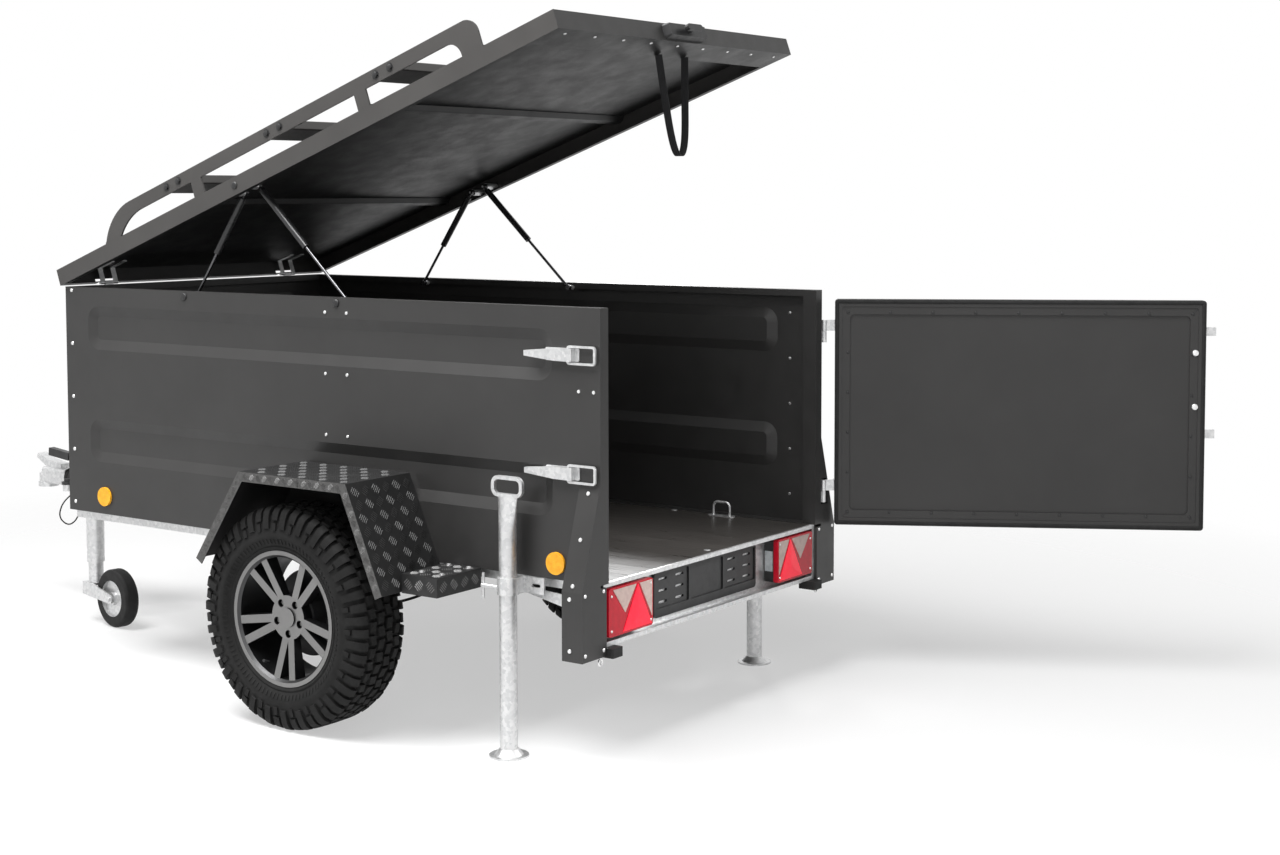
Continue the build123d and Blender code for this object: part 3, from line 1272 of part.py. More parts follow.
# local y of DOOR is up, local z points into the box when the door is closed
DOOR_FACE = DOOR_PIN_PLACE + DOOR_GAP
DOOR_NEAR = DOOR_PIN_OUT + DOOR_LEFT - DOOR_WIDTH
DOOR_MID = DOOR_NEAR + DOOR_WIDTH / 2
DOOR_HEIGHT = DOOR_TOP - DOOR_BOTTOM
with BuildPart() as door_panel:
    with BuildSketch(DOOR.offset(-DOOR_FACE)):
        with Locations((DOOR_MID, up((DOOR_TOP + DOOR_BOTTOM) / 2))):
            RectangleRounded(DOOR_WIDTH, DOOR_HEIGHT, 10)
    extrude(amount=-DOOR_THICK)
    with BuildSketch(DOOR.offset(-DOOR_FACE)):
        with Locations((DOOR_MID, up((DOOR_TOP + DOOR_BOTTOM) / 2))):
            RectangleRounded(DOOR_WIDTH - 2 * DOOR_BAND, DOOR_HEIGHT - 2 * DOOR_BAND, 8)
    extrude(amount=-DOOR_FOLD, mode=Mode.SUBTRACT)
    with BuildSketch(DOOR.offset(-DOOR_FACE)):
        with Locations((DOOR_MID, up((DOOR_TOP + DOOR_BOTTOM) / 2))):
            RectangleRounded(DOOR_WIDTH - 2 * DOOR_FRAME, DOOR_HEIGHT - 2 * DOOR_FRAME, 14)
    extrude(amount=-DOOR_RECESS, mode=Mode.SUBTRACT)
save(door_panel, "door_panel")

# Door hinges' straps, on the door
with BuildPart() as door_hinge_straps:
    for height in DOOR_HINGES:
        strap_level = Plane(
            origin=(fwd(DOOR_PIN_PLACE), -DOOR_PIN_OUT, up(height + 0.5)), x_dir=DOOR.x_dir, z_dir=(0, 0, 1)
        )
        with BuildSketch(strap_level):
            Circle(HINGE_KNUCKLE)
            with BuildLine():
                Polyline(
                    (-6, 5),
                    (6, 5),
                    (DOOR_NEAR, DOOR_FACE + 2),
                    (DOOR_NEAR, DOOR_FACE + DOOR_THICK - 6),
                    (DOOR_NEAR - 4, DOOR_FACE + DOOR_THICK - 6),
                    (DOOR_NEAR - 4, DOOR_FACE + 7),
                    (-2, HINGE_KNUCKLE),
                    close=True,
                )
            make_face()
            Circle(DOOR_PIN_RADIUS + RUNNING, mode=Mode.SUBTRACT)
        extrude(amount=DOOR_HINGE_LENGTH / 2 - 0.5)
save(door_hinge_straps, "door_hinge_straps")

# Hooks on the door's free edge for the latches' bails
with BuildPart() as door_hooks:
    for height in LATCH_HEIGHTS:
        with BuildSketch(
            Plane(
                origin=DOOR.from_local_coords((DOOR_NEAR + DOOR_WIDTH, up(height), -DOOR_FACE - 10)),
                x_dir=(DOOR.x_dir),
                z_dir=(0, 0, 1),
            )
        ):
            with BuildLine():
                Polyline((0, 0), (30, 0), (30, 14), (26, 14), (26, 4), (0, 4), close=True)
            make_face()
        extrude(amount=13, both=True)
save(door_hooks, "door_hooks")

# Prop legs: tube with a dished foot, pressed flat at the top under a ring handle
for side, sign in SIDES:
    leg_axis = Plane(origin=(fwd(LEG_PLACE), sign * LEG_OUT, up(0)))
    with BuildPart() as leg:
        with BuildSketch(leg_axis):
            Circle(LEG_FOOT_RADIUS)
        extrude(amount=5)
        with BuildSketch(leg_axis.offset(5)):
            Circle(LEG_FOOT_RADIUS - 14)
        extrude(amount=16, taper=40)
        with BuildSketch(leg_axis.offset(5)):
            Circle(LEG_RADIUS)
        extrude(amount=LEG_ROUND_TOP - 5)
        with BuildSketch(leg_axis.offset(LEG_ROUND_TOP)):
            Circle(LEG_RADIUS)
        with BuildSketch(leg_axis.offset(LEG_TOP)):
            Ellipse(LEG_FLAT_WIDTH / 2, LEG_FLAT_THICK / 2)
        loft()
        with BuildSketch(along(sign * LEG_OUT + LEG_RING_WIRE / 2)):
            with Locations((fwd(LEG_PLACE), up(LEG_TOP - 6 + LEG_RING[1] / 2))):
                RectangleRounded(*LEG_RING, LEG_RING_ROUND)
                RectangleRounded(
                    LEG_RING[0] - 2 * LEG_RING_WIRE,
                    LEG_RING[1] - 2 * LEG_RING_WIRE,
                    LEG_RING_ROUND - LEG_RING_WIRE,
                    mode=Mode.SUBTRACT,
                )
        extrude(amount=LEG_RING_WIRE)
    save(leg, f"prop_leg_{side}")

# Clamps of the prop legs on the floor's edge angles, and of the jockey wheel on the left arm
JOCKEY_X = fwd(JOCKEY_PLACE)
LEG_X = fwd(LEG_PLACE)
collar = LEG_RADIUS + LEG_CLAMP_WALL
with BuildPart() as stand_clamps:
    with BuildSketch(level(LEG_CLAMP_LOW)):
        with Locations((LEG_X, LEG_OUT)):
            Circle(collar)
        with Locations((LEG_X, (floor_edge + LEG_OUT) / 2)):
            Rectangle(LEG_CLAMP_BLOCK, LEG_OUT - floor_edge)
        with Locations((LEG_X, LEG_OUT)):
            Circle(LEG_RADIUS + RUNNING, mode=Mode.SUBTRACT)
    extrude(amount=LEG_CLAMP_LENGTH)
    # slotted bracket plate, brace to the corner guard, and the clamp's screw
    with BuildSketch(along(HALF + BRACKET_PLATE)):
        with Locations((LEG_X - BRACKET_SHIFT, up(LEG_CLAMP_LOW + BRACKET_HEIGHT / 2))):
            Rectangle(BRACKET_LENGTH, BRACKET_HEIGHT)
            with GridLocations(BRACKET_SLOT_PITCH, 1, 2, 1):
                SlotOverall(*BRACKET_SLOT, mode=Mode.SUBTRACT)
    extrude(amount=BRACKET_PLATE)
    with BuildSketch(along(TAIL_WIDTH / 2 + SHEET + BRACE_PLATE)):
        with BuildLine():
            Polyline(
                (LEG_X + 20, up(LEG_CLAMP_LOW + 12)),
                (LEG_X + 20, up(LEG_CLAMP_LOW)),
                (fwd(BRACE_TAIL), up(LEG_CLAMP_LOW - 50)),
                (fwd(BRACE_TAIL), up(LEG_CLAMP_LOW - 4)),
                close=True,
            )
        make_face()
    extrude(amount=BRACE_PLATE)
    screw_height = LEG_CLAMP_LOW + 14
    screw_start = LEG_X + collar - LEG_CLAMP_WALL / 2
    with BuildSketch(Plane(origin=(screw_start, LEG_OUT, up(screw_height)), z_dir=(1, 0, 0))):
        Circle(SCREW_RADIUS)
    extrude(amount=SCREW_LENGTH)
    with BuildSketch(level(screw_height - SCREW_BAR_LENGTH / 2)):
        with Locations((screw_start + SCREW_LENGTH - SCREW_BAR_RADIUS, LEG_OUT)):
            Circle(SCREW_BAR_RADIUS)
    extrude(amount=SCREW_BAR_LENGTH)
    mirror(about=Plane.XZ)
    with BuildSketch(level(ARM_LOW + 10)):
        with Locations((JOCKEY_X, JOCKEY_OUT)):
            Circle(JOCKEY_OUTER + JOCKEY_CLAMP_WALL)
        with BuildLine():
            Polyline(
                (JOCKEY_X - JOCKEY_CLAMP_HALF, arm_out(JOCKEY_PLACE - JOCKEY_CLAMP_HALF)),
                (JOCKEY_X + JOCKEY_CLAMP_HALF, arm_out(JOCKEY_PLACE + JOCKEY_CLAMP_HALF)),
                (JOCKEY_X + JOCKEY_CLAMP_HALF, JOCKEY_OUT),
                (JOCKEY_X - JOCKEY_CLAMP_HALF, JOCKEY_OUT),
                close=True,
            )
        make_face()
        with Locations((JOCKEY_X, JOCKEY_OUT)):
            Circle(JOCKEY_OUTER, mode=Mode.SUBTRACT)
    extrude(amount=JOCKEY_CLAMP_LENGTH)
save(stand_clamps, "stand_clamps")

# Jockey wheel: sleeve in its clamp with a crank, then tube, fork and wheel
with BuildPart() as jockey_sleeve:
    with BuildSketch(level(JOCKEY_SLEEVE_BOTTOM)):
        with Locations((JOCKEY_X, JOCKEY_OUT)):
            Circle(JOCKEY_OUTER)
            Circle(JOCKEY_INNER + RUNNING, mode=Mode.SUBTRACT)
    extrude(amount=JOCKEY_TOP - JOCKEY_SLEEVE_BOTTOM)
    with BuildSketch(level(JOCKEY_TOP)):
        with Locations((JOCKEY_X, JOCKEY_OUT)):
            Circle(JOCKEY_OUTER)
    extrude(amount=JOCKEY_CAP)
    with BuildSketch(level(JOCKEY_TOP + JOCKEY_CAP)):
        with Locations((JOCKEY_X, JOCKEY_OUT)):
            Circle(CRANK_SPINDLE)
    extrude(amount=CRANK_RISE)
    crank_height = JOCKEY_TOP + JOCKEY_CAP + CRANK_RISE
    with BuildSketch(level(crank_height)):
        with Locations((JOCKEY_X - CRANK_THROW / 2, JOCKEY_OUT)):
            SlotOverall(CRANK_THROW + 1.5 * CRANK_WIDTH, CRANK_WIDTH)
    extrude(amount=CRANK_PLATE)
    with BuildSketch(level(crank_height + CRANK_PLATE)):
        with Locations((JOCKEY_X - CRANK_THROW, JOCKEY_OUT)):
            Circle(CRANK_GRIP_RADIUS)
    extrude(amount=CRANK_GRIP_LENGTH)
save(jockey_sleeve, "jockey_sleeve")

with BuildPart() as jockey_tube:
    with BuildSketch(level(JOCKEY_TUBE_BOTTOM)):
        with Locations((JOCKEY_X, JOCKEY_OUT)):
            Circle(JOCKEY_INNER)
    extrude(amount=JOCKEY_SLEEVE_BOTTOM - JOCKEY_TUBE_BOTTOM + JOCKEY_OVERLAP)
save(jockey_tube, "jockey_tube")

# The caster's own axes: local x is its forward, local y its left
CASTER = Plane(
    origin=(JOCKEY_X, JOCKEY_OUT, 0),
    x_dir=(cos(radians(JOCKEY_TURN)), -sin(radians(JOCKEY_TURN)), 0),
    z_dir=(0, 0, 1),
)


def caster_side(out):
    """Upright plane along the caster, facing its right."""
    return Plane(origin=CASTER.from_local_coords((0, out, 0)), x_dir=CASTER.x_dir, z_dir=-CASTER.y_dir)


FORK_IN = JOCKEY_WIDTH / 2 + 5
FORK_HEAD = JOCKEY_TUBE_BOTTOM - 0.5
with BuildPart() as jockey_fork:
    with BuildSketch(CASTER.offset(up(FORK_HEAD))):
        RectangleRounded(64, 2 * (FORK_IN + JOCKEY_ARM_PLATE), 4)
    extrude(amount=-8)
    for cheek in (-1, 1):
        with BuildSketch(caster_side(cheek * (FORK_IN + JOCKEY_ARM_PLATE / 2) + JOCKEY_ARM_PLATE / 2)):
            with BuildLine():
                Polyline(
                    (32, up(FORK_HEAD)),
                    (-32, up(FORK_HEAD)),
                    (-JOCKEY_TRAIL, up(JOCKEY_RADIUS + 16)),
                    (-JOCKEY_TRAIL, up(JOCKEY_RADIUS - 16)),
                    (32, up(FORK_HEAD - JOCKEY_ARM)),
                    close=True,
                )
            make_face()
            with Locations((-JOCKEY_TRAIL, up(JOCKEY_RADIUS))):
                Circle(16)
        extrude(amount=JOCKEY_ARM_PLATE)
    with BuildSketch(caster_side(FORK_IN + JOCKEY_ARM_PLATE + 5)):
        with Locations((-JOCKEY_TRAIL, up(JOCKEY_RADIUS))):
            Circle(JOCKEY_AXLE)
    extrude(amount=2 * (FORK_IN + JOCKEY_ARM_PLATE + 5))
save(jockey_fork, "jockey_fork")

with BuildPart() as jockey_wheel:
    with BuildSketch(caster_side(JOCKEY_WIDTH / 2)):
        with Locations((-JOCKEY_TRAIL, up(JOCKEY_RADIUS))):
            Circle(JOCKEY_RADIUS)
    extrude(amount=JOCKEY_WIDTH)
    fillet(jockey_wheel.edges().filter_by(GeomType.CIRCLE), radius=12)
    for face in (JOCKEY_WIDTH / 2, 12 - JOCKEY_WIDTH / 2):
        with BuildSketch(caster_side(face)):
            with Locations((-JOCKEY_TRAIL, up(JOCKEY_RADIUS))):
                Circle(JOCKEY_RIM_RADIUS)
                Circle(22, mode=Mode.SUBTRACT)
        extrude(amount=12, mode=Mode.SUBTRACT)
    with BuildSketch(caster_side(JOCKEY_WIDTH / 2)):
        with Locations((-JOCKEY_TRAIL, up(JOCKEY_RADIUS))):
            Circle(JOCKEY_AXLE + RUNNING)
    extrude(amount=JOCKEY_WIDTH, mode=Mode.SUBTRACT)
save(jockey_wheel, "jockey_wheel")
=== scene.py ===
"""Looks of the off-road box trailer: materials, small fittings, tread and the studio."""

import json
import math

import bmesh
import bpy
from mathutils import Matrix, Vector


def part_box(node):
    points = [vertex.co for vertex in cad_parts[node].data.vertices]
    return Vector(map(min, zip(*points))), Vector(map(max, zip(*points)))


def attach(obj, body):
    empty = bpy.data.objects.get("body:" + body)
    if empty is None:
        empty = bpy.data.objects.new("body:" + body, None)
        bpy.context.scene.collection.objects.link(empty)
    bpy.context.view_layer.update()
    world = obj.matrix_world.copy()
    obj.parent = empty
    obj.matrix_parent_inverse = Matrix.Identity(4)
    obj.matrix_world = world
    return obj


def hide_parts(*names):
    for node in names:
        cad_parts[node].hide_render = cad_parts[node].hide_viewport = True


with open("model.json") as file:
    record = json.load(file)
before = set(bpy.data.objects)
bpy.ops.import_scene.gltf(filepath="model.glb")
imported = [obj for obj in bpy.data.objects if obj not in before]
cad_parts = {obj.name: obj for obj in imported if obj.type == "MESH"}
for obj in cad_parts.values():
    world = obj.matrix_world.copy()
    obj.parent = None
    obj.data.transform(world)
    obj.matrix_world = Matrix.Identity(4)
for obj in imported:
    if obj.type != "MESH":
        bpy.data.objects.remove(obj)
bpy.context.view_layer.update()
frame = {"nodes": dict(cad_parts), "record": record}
nodes = frame["nodes"]

# Places of the CAD model, in metres: distances ahead of the box's rear edge and heights
# above the road turn into the frame, whose origin is the coupling's ball centre.
HITCH_REACH = 2.960
HITCH_HEIGHT = 0.425


def at(ahead, left, high):
    return Vector((ahead - HITCH_REACH, left, high - HITCH_HEIGHT))


# Materials


class Shader:
    """Small helper that wires a node material round one Principled shader."""

    def __init__(self, name):
        self.material = bpy.data.materials.new(name)
        self.material.use_nodes = True
        self.tree = self.material.node_tree
        self.bsdf = self.tree.nodes["Principled BSDF"]

    def node(self, kind, **values):
        made = self.tree.nodes.new(kind)
        for key, value in values.items():
            if key in made.inputs:
                made.inputs[key].default_value = value
            else:
                setattr(made, key, value)
        return made

    def link(self, out, into):
        self.tree.links.new(out, into)

    def set(self, **values):
        for key, value in values.items():
            self.bsdf.inputs[key.replace("_", " ")].default_value = value

    def coords(self):
        return self.node("ShaderNodeTexCoord").outputs["Object"]

    def noise(self, scale, detail=4.0, rough=0.6, vector=None):
        made = self.node("ShaderNodeTexNoise", Scale=scale, Detail=detail, Roughness=rough)
        self.link(vector or self.coords(), made.inputs["Vector"])
        return made.outputs["Fac"]

    def ramp(self, fac, stops):
        made = self.node("ShaderNodeValToRGB")
        ends = made.color_ramp.elements
        while len(ends) < len(stops):
            ends.new(0.5)
        for end, (place, colour) in zip(ends, stops):
            end.position = place
            end.color = (*colour, 1) if len(colour) == 3 else colour
        self.link(fac, made.inputs["Fac"])
        return made.outputs["Color"]

    def grey(self, fac, low, high, start=0.3, end=0.7):
        made = self.node("ShaderNodeMapRange")
        made.inputs["From Min"].default_value = start
        made.inputs["From Max"].default_value = end
        made.inputs["To Min"].default_value = low
        made.inputs["To Max"].default_value = high
        self.link(fac, made.inputs["Value"])
        return made.outputs["Result"]

    def bump(self, height, strength, distance=0.001):
        made = self.node("ShaderNodeBump", Strength=strength, Distance=distance)
        self.link(height, made.inputs["Height"])
        last = self.bsdf.inputs["Normal"]
        if last.is_linked:
            self.link(last.links[0].from_socket, made.inputs["Normal"])
        self.link(made.outputs["Normal"], last)

    def colour(self, out):
        self.link(out, self.bsdf.inputs["Base Color"])

    def roughness(self, out):
        self.link(out, self.bsdf.inputs["Roughness"])


def powder_coat(name, low, high, rough, patches=3.0):
    s = Shader(name)
    s.set(Roughness=rough, Specular_IOR_Level=0.45)
    s.colour(s.ramp(s.noise(patches, 3.0), [(0.3, low), (0.7, high)]))
    s.roughness(s.grey(s.noise(14.0, 5.0), rough - 0.06, rough + 0.07))
    s.bump(s.noise(520.0, 2.0), 0.32, 0.0006)
    return s.material


def zinc(name, low, high, rough):
    s = Shader(name)
    s.set(Metallic=0.85, Roughness=rough)
    flakes = s.node("ShaderNodeTexVoronoi", Scale=120.0)
    s.link(s.coords(), flakes.inputs["Vector"])
    s.colour(s.ramp(flakes.outputs["Color"], [(0.1, low), (0.9, high)]))
    s.roughness(s.grey(s.noise(30.0, 5.0), rough - 0.1, rough + 0.12))
    s.bump(s.noise(160.0, 3.0), 0.12, 0.0006)
    return s.material


def plastic(name, colour, rough, grain=700.0, depth=0.2, shine=0.5):
    s = Shader(name)
    s.set(Roughness=rough, Specular_IOR_Level=shine)
    lighter = tuple(min(1.0, c * 1.35 + 0.003) for c in colour)
    s.colour(s.ramp(s.noise(9.0), [(0.3, colour), (0.75, lighter)]))
    s.roughness(s.grey(s.noise(40.0), rough - 0.08, rough + 0.1))
    s.bump(s.noise(grain, 2.0), depth, 0.0004)
    return s.material


BLACK = powder_coat("black_coat", (0.024, 0.0234, 0.0230), (0.031, 0.0303, 0.0297), 0.42)
# Much darker coat under the lid: painted shade, the lid is the same black paint inside and out
PAINTED_SHADE = powder_coat("lid_painted_shade", (0.006, 0.006, 0.0062), (0.009, 0.009, 0.0092), 0.45)
# Lighter coat of the rails and the black aluminium parts; on the lid pan's sides it is a painted sheen
RAIL_AND_SHEEN = powder_coat("rail_coat_and_painted_sheen", (0.042, 0.0400, 0.0385), (0.055, 0.0525, 0.0505), 0.42)
PLATE = powder_coat("tread_plate_coat", (0.009, 0.009, 0.0092), (0.014, 0.014, 0.014), 0.46)
# Paler, finely speckled coats: the first on the mudguards' outer lips, the second on their lip tread and
# on the steps' tread
LIP = powder_coat("pale_speckled_coat", (0.045, 0.0445, 0.044), (0.095, 0.093, 0.091), 0.36, 90.0)
PALE_TREAD = powder_coat("pale_speckled_tread", (0.075, 0.074, 0.073), (0.150, 0.148, 0.146), 0.34, 60.0)
ZINC = zinc("galvanised", (0.56, 0.565, 0.57), (0.72, 0.72, 0.72), 0.44)
BRIGHT = zinc("bright_zinc", (0.72, 0.72, 0.72), (0.90, 0.90, 0.90), 0.30)
PLASTIC = plastic("black_plastic", (0.010, 0.010, 0.0105), 0.42)
RUBBER = plastic("rubber", (0.010, 0.010, 0.010), 0.7, 300.0, 0.3, 0.3)
TYRE = plastic("tyre_rubber", (0.0065, 0.0064, 0.0063), 0.72, 420.0, 0.35, 0.22)
IRON = plastic("black_iron", (0.020, 0.020, 0.021), 0.6, 200.0, 0.4)


def alloy():
    """Machined faces are bright and the pockets between the spokes are dark."""
    s = Shader("alloy")
    s.set(Metallic=0.8, Roughness=0.34)
    parts = s.node("ShaderNodeSeparateXYZ")
    s.link(s.node("ShaderNodeTexCoord").outputs["Normal"], parts.inputs["Vector"])
    facing = s.node("ShaderNodeMath", operation="ABSOLUTE")
    s.link(parts.outputs["Y"], facing.inputs[0])
    s.colour(
        s.ramp(
            facing.outputs["Value"],
            [(0.50, (0.025, 0.025, 0.026)), (0.80, (0.08, 0.08, 0.081)), (0.97, (0.21, 0.208, 0.206))],
        )
    )
    s.roughness(s.grey(s.noise(60.0), 0.28, 0.42))
    s.bump(s.noise(500.0, 2.0), 0.08, 0.0003)
    return s.material


def floor_film():
    s = Shader("floor_film")
    s.set(Roughness=0.32)
    stretch = s.node("ShaderNodeMapping")
    stretch.inputs["Scale"].default_value = (2.0, 30.0, 30.0)
    s.link(s.coords(), stretch.inputs["Vector"])
    grain = s.noise(3.0, 8.0, 0.65, stretch.outputs["Vector"])
    s.colour(s.ramp(grain, [(0.25, (0.034, 0.031, 0.029)), (0.8, (0.072, 0.066, 0.061))]))
    s.roughness(s.grey(grain, 0.26, 0.42))
    s.bump(s.noise(350.0, 2.0), 0.15, 0.0005)
    return s.material


def lens(name, deep, bright, rough=0.12, painted_glow=0.0):
    s = Shader(name)
    s.set(Roughness=rough, Coat_Weight=0.10, Coat_Roughness=0.08, Specular_IOR_Level=0.3)
    s.colour(s.ramp(s.noise(60.0), [(0.3, deep), (0.75, bright)]))
    cells = s.node("ShaderNodeTexVoronoi", Scale=260.0)
    s.link(s.coords(), cells.inputs["Vector"])
    s.bump(cells.outputs["Distance"], 0.35, 0.0012)
    # painted glow: emission that brightens the colour of a lens that is not lit from inside
    if painted_glow:
        s.set(Emission_Strength=painted_glow, Emission_Color=(*bright, 1))
    return s.material


def webbing():
    s = Shader("webbing")
    s.set(Roughness=0.85)
    weave = s.node("ShaderNodeTexWave", Scale=260.0, Distortion=1.2)
    weave.bands_direction = "DIAGONAL"
    s.link(s.coords(), weave.inputs["Vector"])
    s.colour(s.ramp(weave.outputs["Fac"], [(0.2, (0.010, 0.010, 0.011)), (0.8, (0.026, 0.026, 0.028))]))
    s.bump(weave.outputs["Fac"], 0.6, 0.0008)
    return s.material


def rod_steel():
    """Dark nitrided steel of the gas struts' rods."""
    s = Shader("rod_steel")
    s.set(Metallic=1.0, Roughness=0.24)
    s.colour(s.ramp(s.noise(30.0), [(0.3, (0.10, 0.10, 0.105)), (0.7, (0.15, 0.15, 0.155))]))
    s.roughness(s.grey(s.noise(90.0), 0.20, 0.30))
    return s.material


ALLOY = alloy()
FILM = floor_film()
# the red lens carries a painted glow, to make its red brighter
RED = lens("lamp_red", (0.34, 0.002, 0.012), (0.48, 0.004, 0.018), 0.25, 0.16)
AMBER = lens("lamp_amber", (0.85, 0.34, 0.01), (0.95, 0.50, 0.03))
CLEAR = lens("lamp_clear", (0.50, 0.36, 0.33), (0.64, 0.50, 0.45), 0.2)
# the reflecting triangle carries a painted glow, to make its red brighter
REFLECTOR = lens("lamp_reflector", (0.86, 0.004, 0.026), (0.97, 0.010, 0.042), 0.2, 0.34)
WINDOW = lens("lamp_window", (0.42, 0.45, 0.47), (0.66, 0.69, 0.70))
WEBBING = webbing()
ROD = rod_steel()
STRUT = plastic("strut_paint", (0.016, 0.016, 0.017), 0.3, 300.0, 0.05)

BY_SLOT = {
    "black_paint": BLACK,
    "black_aluminium": RAIL_AND_SHEEN,
    "tread_plate": PLATE,
    "galvanised": ZINC,
    "floor_film": FILM,
    "black_plastic": PLASTIC,
    "red_lens": RED,
    "amber_lens": AMBER,
    "rubber": RUBBER,
    "tyre_rubber": TYRE,
    "alloy": ALLOY,
    "cast_iron": IRON,
    "webbing": WEBBING,
    "strut_black": STRUT,
    "chrome": ROD,
}
for part in frame["record"]["subparts"]:
    shown = nodes[part["node"]]
    shown.data.materials.clear()
    shown.data.materials.append(BY_SLOT[part["material_slot"]])
# the stiffeners under the lid take the darker coat: painted shade
nodes["lid_stiffeners"].data.materials[0] = PAINTED_SHADE
nodes["roof_rails"].data.materials[0] = RAIL_AND_SHEEN
nodes["coupling_lever"].data.materials[0] = ZINC


def second_coat(name, material, chosen):
    """Gives a CAD node's faces another material where chosen(middle, normal) says so."""
    shown = nodes[name]
    shown.data.materials.append(material)
    index = len(shown.data.materials) - 1
    turn = shown.matrix_world.to_3x3()
    for face in shown.data.polygons:
        if chosen(shown.matrix_world @ face.center, (turn @ face.normal).normalized()):
            face.material_index = index


LID_ANGLE = math.radians(19.55)
LID_UP = Vector((math.sin(LID_ANGLE), 0, math.cos(LID_ANGLE)))
# the lid pan's outer sides take the lighter rail coat: a painted sheen where the top light glances off
# them
second_coat("lid_pan", RAIL_AND_SHEEN, lambda middle, normal: abs(normal.y) > 0.9 and abs(middle.y) > 0.575)
# the lid pan's underside takes the darker coat: painted shade
second_coat("lid_pan", PAINTED_SHADE, lambda middle, normal: normal.dot(LID_UP) < -0.7)
second_coat("mudguards", LIP, lambda middle, normal: abs(normal.y) > 0.9 and abs(middle.y) > 0.80)

# The jockey wheel's pressed rim is bright, its tread is rubber
JOCKEY_AXIS = Vector((math.sin(math.radians(8)), math.cos(math.radians(8)), 0))
JOCKEY_RIM = 0.0625
low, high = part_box("jockey_wheel")
hub = (Vector(low) + Vector(high)) / 2


def near_hub(middle, normal):
    away = middle - hub
    return (away - JOCKEY_AXIS * away.dot(JOCKEY_AXIS)).length < JOCKEY_RIM


second_coat("jockey_wheel", ZINC, near_hub)

# Pieces: meshes drawn in the frame, each riding on a CAD body


def piece(name, body, material, draw, smooth=True):
    """Mesh object that draw(bm) fills, with one material, riding on a body."""
    bm = bmesh.new()
    draw(bm)
    bmesh.ops.recalc_face_normals(bm, faces=bm.faces)
    mesh = bpy.data.meshes.new(name)
    bm.to_mesh(mesh)
    bm.free()
    if smooth:
        for face in mesh.polygons:
            face.use_smooth = True
        mesh.set_sharp_from_angle(angle=math.radians(38))
    mesh.materials.append(material)
    made = bpy.data.objects.new(name, mesh)
    bpy.context.collection.objects.link(made)
    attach(made, body)
    return made


def skin(bm, rings, closed=True, caps=True):
    """Joins rings of points, each as long as the last, into a skin."""
    made = [[bm.verts.new(p) for p in ring] for ring in rings]
    for a, b in zip(made, made[1:]):
        count = len(a)
        for i in range(count if closed else count - 1):
            j = (i + 1) % count
            bm.faces.new((a[i], a[j], b[j], b[i]))
    if caps:
        bm.faces.new(made[0][::-1])
        bm.faces.new(made[-1])


def frame_of(normal, hint=Vector((0, 0, 1))):
    """Two directions across a normal."""
    n = Vector(normal).normalized()
    if abs(n.dot(hint)) > 0.95:
        hint = Vector((1, 0, 0))
    u = hint.cross(n).normalized()
    return u, n.cross(u), n


PAN_HEAD = ((1.0, 0.0), (1.0, 0.45), (0.86, 0.8), (0.5, 1.0))
HEX_HEAD = ((1.35, 0.0), (1.35, 0.16), (1.0, 0.18), (1.0, 0.86), (0.84, 1.0))
SUNK = 0.0004  # heads start this far inside the surface they sit on


def head(bm, place, normal, radius, rise, shape=PAN_HEAD, sides=14):
    """Screw or bolt head on a surface."""
    u, v, n = frame_of(normal)
    rings = []
    for wide, high in shape:
        corners = 6 if shape is HEX_HEAD and wide <= 1.0 else sides
        ring = []
        for i in range(sides):
            turn = 2 * math.pi * i / sides
            reach = radius * wide
            if corners == 6:
                slice_ = math.pi / 3
                reach *= math.cos(slice_ / 2) / math.cos((turn % slice_) - slice_ / 2)
            ring.append(
                place + n * (rise * high - SUNK) + reach * (u * math.cos(turn) + v * math.sin(turn))
            )
        rings.append(ring)
    skin(bm, rings)


def heads(name, body, table, material=None):
    """One piece of many heads: rows of (place, normal, radius, rise, shape)."""

    def draw(bm):
        for place, normal, radius, rise, shape in table:
            head(bm, place, normal, radius, rise, shape)

    return piece(name, body, material or BRIGHT, draw)


def spaced(first, last, count):
    return [first + (last - first) * i / (count - 1) for i in range(count)]


# Places on the lid and on the door, which stand open: both are drawn in their own axes
LID_PIN = at(2.110, 0, 1.2005)
LID_BACK = Vector((-math.cos(LID_ANGLE), 0, math.sin(LID_ANGLE)))
DOOR_ANGLE = math.radians(118.86)
DOOR_PIN = at(0.004, -0.588, 0.425)
DOOR_OUT = Vector((-math.sin(DOOR_ANGLE), math.cos(DOOR_ANGLE), 0))
DOOR_IN = Vector((math.cos(DOOR_ANGLE), math.sin(DOOR_ANGLE), 0))


def on_lid(back, left, high):
    """Point on the lid: back from its hinge pin, left, and above its lower edge."""
    return LID_PIN + LID_BACK * back + LID_UP * high + Vector((0, left, 0))


def on_door(out, high, deep):
    """Point on the door: out from its hinge pin, above the road, into the box."""
    return DOOR_PIN + DOOR_OUT * out + DOOR_IN * deep + Vector((0, 0, high - HITCH_HEIGHT))


